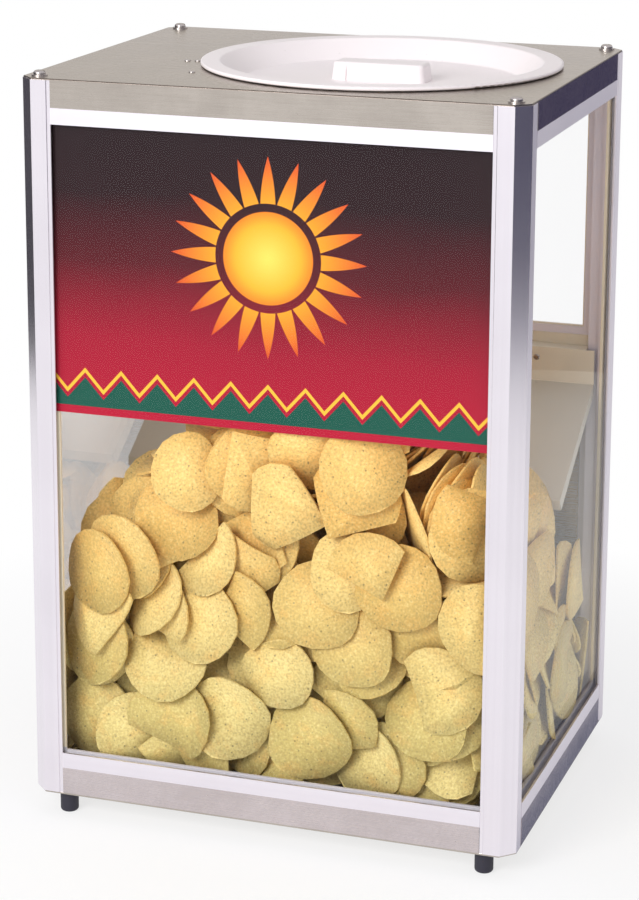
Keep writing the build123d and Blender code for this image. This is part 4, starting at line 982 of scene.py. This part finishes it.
def fried_corn(name):
    """Fried corn: a mottled yellow ground, toasted patches and small dark flecks of bran, with
    painted warm light that turns the heap golden towards its top.
    """
    finish = Finish(name)
    tone = finish.add("ShaderNodeAttribute", {"attribute_name": "tone"}, None, "Fac")
    height = finish.axis("Z").ramp(*CORN_GLOW_RAMP)
    patches = finish.noise(CORN_PATCH, 3.0, 0.6)
    blister = finish.noise(CORN_BLISTER, 2.0)
    mottle = finish.noise(CORN_MOTTLE, 2.0, 0.6)
    grit = finish.noise(CORN_GRIT, 2.0, 0.6)
    flecks = 1.0 - finish.cells(CORN_FLECK).ramp(*CORN_FLECK_RAMP)
    small_flecks = 1.0 - finish.cells(CORN_SMALL_FLECK).ramp(*CORN_SMALL_FLECK_RAMP)
    below_glow_tone = finish.blend(tone, *CORN_BELOW_GLOW)
    glow_tone = finish.blend(tone, *CORN_WARM_GLOW)
    # painted light: golden towards the top of the heap
    ground = finish.blend((height + patches * 0.4 - 0.2).clamp(), below_glow_tone, glow_tone)
    toasted = patches.ramp(*CORN_PATCH_RAMP) * CORN_TOASTED_SHARE
    dull = mottle.ramp(*CORN_DULL_RAMP) * CORN_DULL_SHARE
    pale = mottle.ramp(*CORN_PALE_RAMP) * CORN_PALE_SHARE
    ground = finish.blend(toasted, ground, CORN_TOASTED)
    ground = finish.blend(dull, ground, CORN_DULL)
    ground = finish.blend(pale, ground, CORN_PALE)
    ground = finish.blend(small_flecks * CORN_SMALL_FLECK_SHARE, ground, CORN_SMALL_FLECK_COLOUR)
    ground = finish.blend(flecks * CORN_FLECK_SHARE, ground, CORN_FLECK_COLOUR)
    finish.feed("Base Color", ground)
    finish.feed("Roughness", CORN_ROUGHNESS + grit * CORN_UNEVEN)
    finish.bump(blister * 1.4 + mottle * 0.7 + grit * 0.3, CORN_DEPTH, CORN_RELIEF)
    return finish.material


def store(mesh, name, data_type, field, numbers):
    """Gives each point of a mesh its own value under a name."""
    mesh.attributes.new(name, data_type, "POINT").data.foreach_set(field, numbers)


def make_chips():
    """The heap of chips, one mesh that rests in the cabinet."""
    places = chip_places()
    chance = random.Random(CHIP_SEED + 1)
    points = bpy.data.meshes.new("chip_points")
    points.from_pydata([end.translation for _, end in places], [], [])
    store(points, "kind", "INT", "value", [kind for kind, _ in places])
    angles = [angle for _, end in places for angle in end.to_euler()]
    store(points, "turn", "FLOAT_VECTOR", "vector", angles)
    store(points, "tone", "FLOAT", "value", [chance.random() for _ in places])
    shapes = bpy.data.collections.new("chip_shapes")
    for number, shape in enumerate(CHIP_SHAPES):
        name = f"chip_shape_{number:02d}"
        shapes.objects.link(bpy.data.objects.new(name, chip_mesh(name, shape)))
    inputs = {"Shapes": shapes, "Size": 1.0, "Finish": fried_corn("fried_corn")}
    chips = grown("chips", points, chips_tree("chip_heap"), inputs)
    for model in list(shapes.objects):
        bpy.data.objects.remove(model)
    bpy.data.collections.remove(shapes)
    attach(chips, "cabinet")
    print("chips in the heap:", len(places), "faces:", len(chips.data.polygons))


# ---- camera ----
# It looks at a point on the front of the cabinet, from the right and from above.
CAMERA_TARGET = Vector((0.0408, -0.1573, 0.4127))
CAMERA_DISTANCE = 1.903
CAMERA_AZIMUTH = math.radians(18.655)
CAMERA_ELEVATION = math.radians(13.63)
CAMERA_ROLL = math.radians(0.25)
CAMERA_LENS, CAMERA_SENSOR = 107.5, 36.0        # mm
CAMERA_SHIFT = -0.15        # a rising front keeps the posts upright in the picture
CAMERA_NEAR, CAMERA_FAR = 0.01, 50.0


def make_camera():
    """The camera at the photograph's viewing angle."""
    data = bpy.data.cameras.new("camera")
    camera = link("camera", data)
    back = Vector((
        math.sin(CAMERA_AZIMUTH) * math.cos(CAMERA_ELEVATION),
        -math.cos(CAMERA_AZIMUTH) * math.cos(CAMERA_ELEVATION),
        math.sin(CAMERA_ELEVATION),
    ))
    camera.location = CAMERA_TARGET + back * CAMERA_DISTANCE
    turn = (-back).to_track_quat("-Z", "Y") @ Quaternion((0, 0, 1), CAMERA_ROLL)
    camera.rotation_mode = "QUATERNION"
    camera.rotation_quaternion = turn
    data.sensor_width = CAMERA_SENSOR
    data.lens = CAMERA_LENS
    data.shift_y = CAMERA_SHIFT
    data.clip_start, data.clip_end = CAMERA_NEAR, CAMERA_FAR
    bpy.context.scene.camera = camera


# ---- stage and light ----
FLOOR_REACH = 12.0
FLOOR_TONE, FLOOR_ROUGHNESS = 252, 0.8
# The floor is partly a glow: painted light that pales the cabinet's shadow on it and turns it white
# farther off.
FLOOR_NEAR, FLOOR_FAR = 0.24, 0.62      # the floor turns white between these distances
FLOOR_LIFT = 0.7                        # and is already this near to it under the cabinet
ROOM_LIGHT, ROOM_STRENGTH = (0.97, 0.96, 1.0, 1.0), 0.62
ROOM_GLOSS = (0.86, 0.845, 0.89, 1.0)
# Upright cards: two points of the floor plan, foot, head and colour.
UPRIGHT_CARDS = {
    "card_right": ((0.9, -1.8), (0.9, 0.5), 0.21, 0.75, (30, 28, 66)),
    "card_rear": ((0.2, 1.1), (1.3, 0.9), 0.06, 0.62, (34, 24, 84)),
    "card_left": ((-0.85, 1.2), (-0.85, -0.9), 0.16, 0.75, (48, 46, 54)),
    "card_high": ((-1.8, 1.5), (0.9, 1.5), 0.8, 2.4, (216, 210, 200)),
}
# A strip on the floor, which the skirt to the right mirrors: its x and y, height and colour.
STRIP_X, STRIP_Y, STRIP_Z = (0.195, 0.225), (-0.14, 0.36), 0.001
STRIP_COLOUR = (100, 106, 132)
# Each lamp: its place, the point it faces, its width and height, and its power in watts.
KEY_PLACE, KEY_TARGET, KEY_SIZE, KEY_POWER = (-0.6, -2.3, 1.5), (0, 0, 0.3), (1.3, 1.0), 46
WARM_PLACE, WARM_TARGET, WARM_SIZE = (0.03, -0.02, 0.45), (0.0, -0.08, 0.0), (0.16, 0.12)
WARM_POWER, WARM_COLOUR, WARM_SPREAD = 0.14, (1.0, 0.8, 0.6), math.radians(140)


def sheet_of(name, corners):
    """One flat face between four corners."""
    mesh = bpy.data.meshes.new(name)
    mesh.from_pydata(corners, [], [QUAD])
    return link(name, mesh)


def level_corners(xs, ys, z):
    """The corners of a level rectangle, seen from above in turn to the left."""
    return [(xs[0], ys[0], z), (xs[1], ys[0], z), (xs[1], ys[1], z), (xs[0], ys[1], z)]


def make_floor():
    """A plain pale floor that fades into white away from the cabinet; it is partly a glow, painted
    light that also pales the cabinet's shadow on it.
    """
    sides = (-FLOOR_REACH, FLOOR_REACH)
    floor = sheet_of("floor", level_corners(sides, sides, 0))
    finish = Finish("floor", Base_Color=shade(FLOOR_TONE), Roughness=FLOOR_ROUGHNESS)
    x, y = finish.axis("X"), finish.axis("Y")
    away = (x * x + y * y).ramp(FLOOR_NEAR ** 2, FLOOR_FAR ** 2)
    glow = finish.add("ShaderNodeEmission", None, {"Color": WHITE, "Strength": 1.0}, "Emission")
    mix = finish.tree.nodes.new("ShaderNodeMixShader")
    wire = finish.tree.links.new
    # painted light: the glow's share, already high under the cabinet and full farther off
    wire((FLOOR_LIFT + away * (1.0 - FLOOR_LIFT)).socket, mix.inputs[0])
    wire(finish.shader.outputs[0], mix.inputs[1])
    wire(glow.socket, mix.inputs[2])
    wire(mix.outputs[0], finish.output.inputs["Surface"])
    floor.data.materials.append(finish.material)


def make_world():
    """White to the eye, pale to gloss and a little darker to everything else."""
    world = bpy.data.worlds.new("studio")
    bpy.context.scene.world = world
    world.use_nodes = True
    tree = world.node_tree
    path = tree.nodes.new("ShaderNodeLightPath")
    room = tree.nodes["Background"]
    room.inputs["Color"].default_value = ROOM_LIGHT
    room.inputs["Strength"].default_value = ROOM_STRENGTH
    seen = room.outputs[0]
    for ray, colour in (("Is Glossy Ray", ROOM_GLOSS), ("Is Camera Ray", WHITE)):
        ground = tree.nodes.new("ShaderNodeBackground")
        ground.inputs["Color"].default_value = colour
        mix = tree.nodes.new("ShaderNodeMixShader")
        tree.links.new(path.outputs[ray], mix.inputs[0])
        tree.links.new(seen, mix.inputs[1])
        tree.links.new(ground.outputs[0], mix.inputs[2])
        seen = mix.outputs[0]
    tree.links.new(seen, tree.nodes["World Output"].inputs["Surface"])


def reflection_card(name, corners, colour):
    """A card that shows only in gloss, as the walls of a studio would."""
    card = sheet_of(name, corners)
    finish = Finish(name, Base_Color=shade(0), Emission_Color=shade(colour), Emission_Strength=1.0)
    card.data.materials.append(finish.material)
    card.visible_camera = False
    card.visible_diffuse = False
    card.visible_transmission = False
    card.visible_volume_scatter = False
    card.visible_shadow = False


def make_cards():
    """Dark cards to the right, behind and to the left, a pale one high up behind the deck."""
    for name, (first, second, foot, head, colour) in UPRIGHT_CARDS.items():
        corners = [(*first, foot), (*second, foot), (*second, head), (*first, head)]
        reflection_card(name, corners, colour)
    reflection_card("card_floor", level_corners(STRIP_X, STRIP_Y, STRIP_Z), STRIP_COLOUR)


def area_light(name, place, target, size, power):
    """A soft rectangular light that faces a point."""
    data = bpy.data.lights.new(name, "AREA")
    data.shape = "RECTANGLE"
    data.size, data.size_y = size
    data.energy = power
    lamp = link(name, data)
    lamp.location = place
    aim = Vector(target) - Vector(place)
    lamp.rotation_mode = "QUATERNION"
    lamp.rotation_quaternion = aim.to_track_quat("-Z", "Y")
    return lamp


def make_lights():
    """A large key light in front, and the glow of the warmer's own air over the heap."""
    area_light("key", KEY_PLACE, KEY_TARGET, KEY_SIZE, KEY_POWER)
    warm = area_light("warm", WARM_PLACE, WARM_TARGET, WARM_SIZE, WARM_POWER)
    warm.data.color = WARM_COLOUR
    warm.data.spread = WARM_SPREAD
    warm.visible_glossy = False


make_chips()
make_camera()
make_floor()
make_world()
make_cards()
make_lights()
bpy.context.scene.view_settings.view_transform = "Standard"
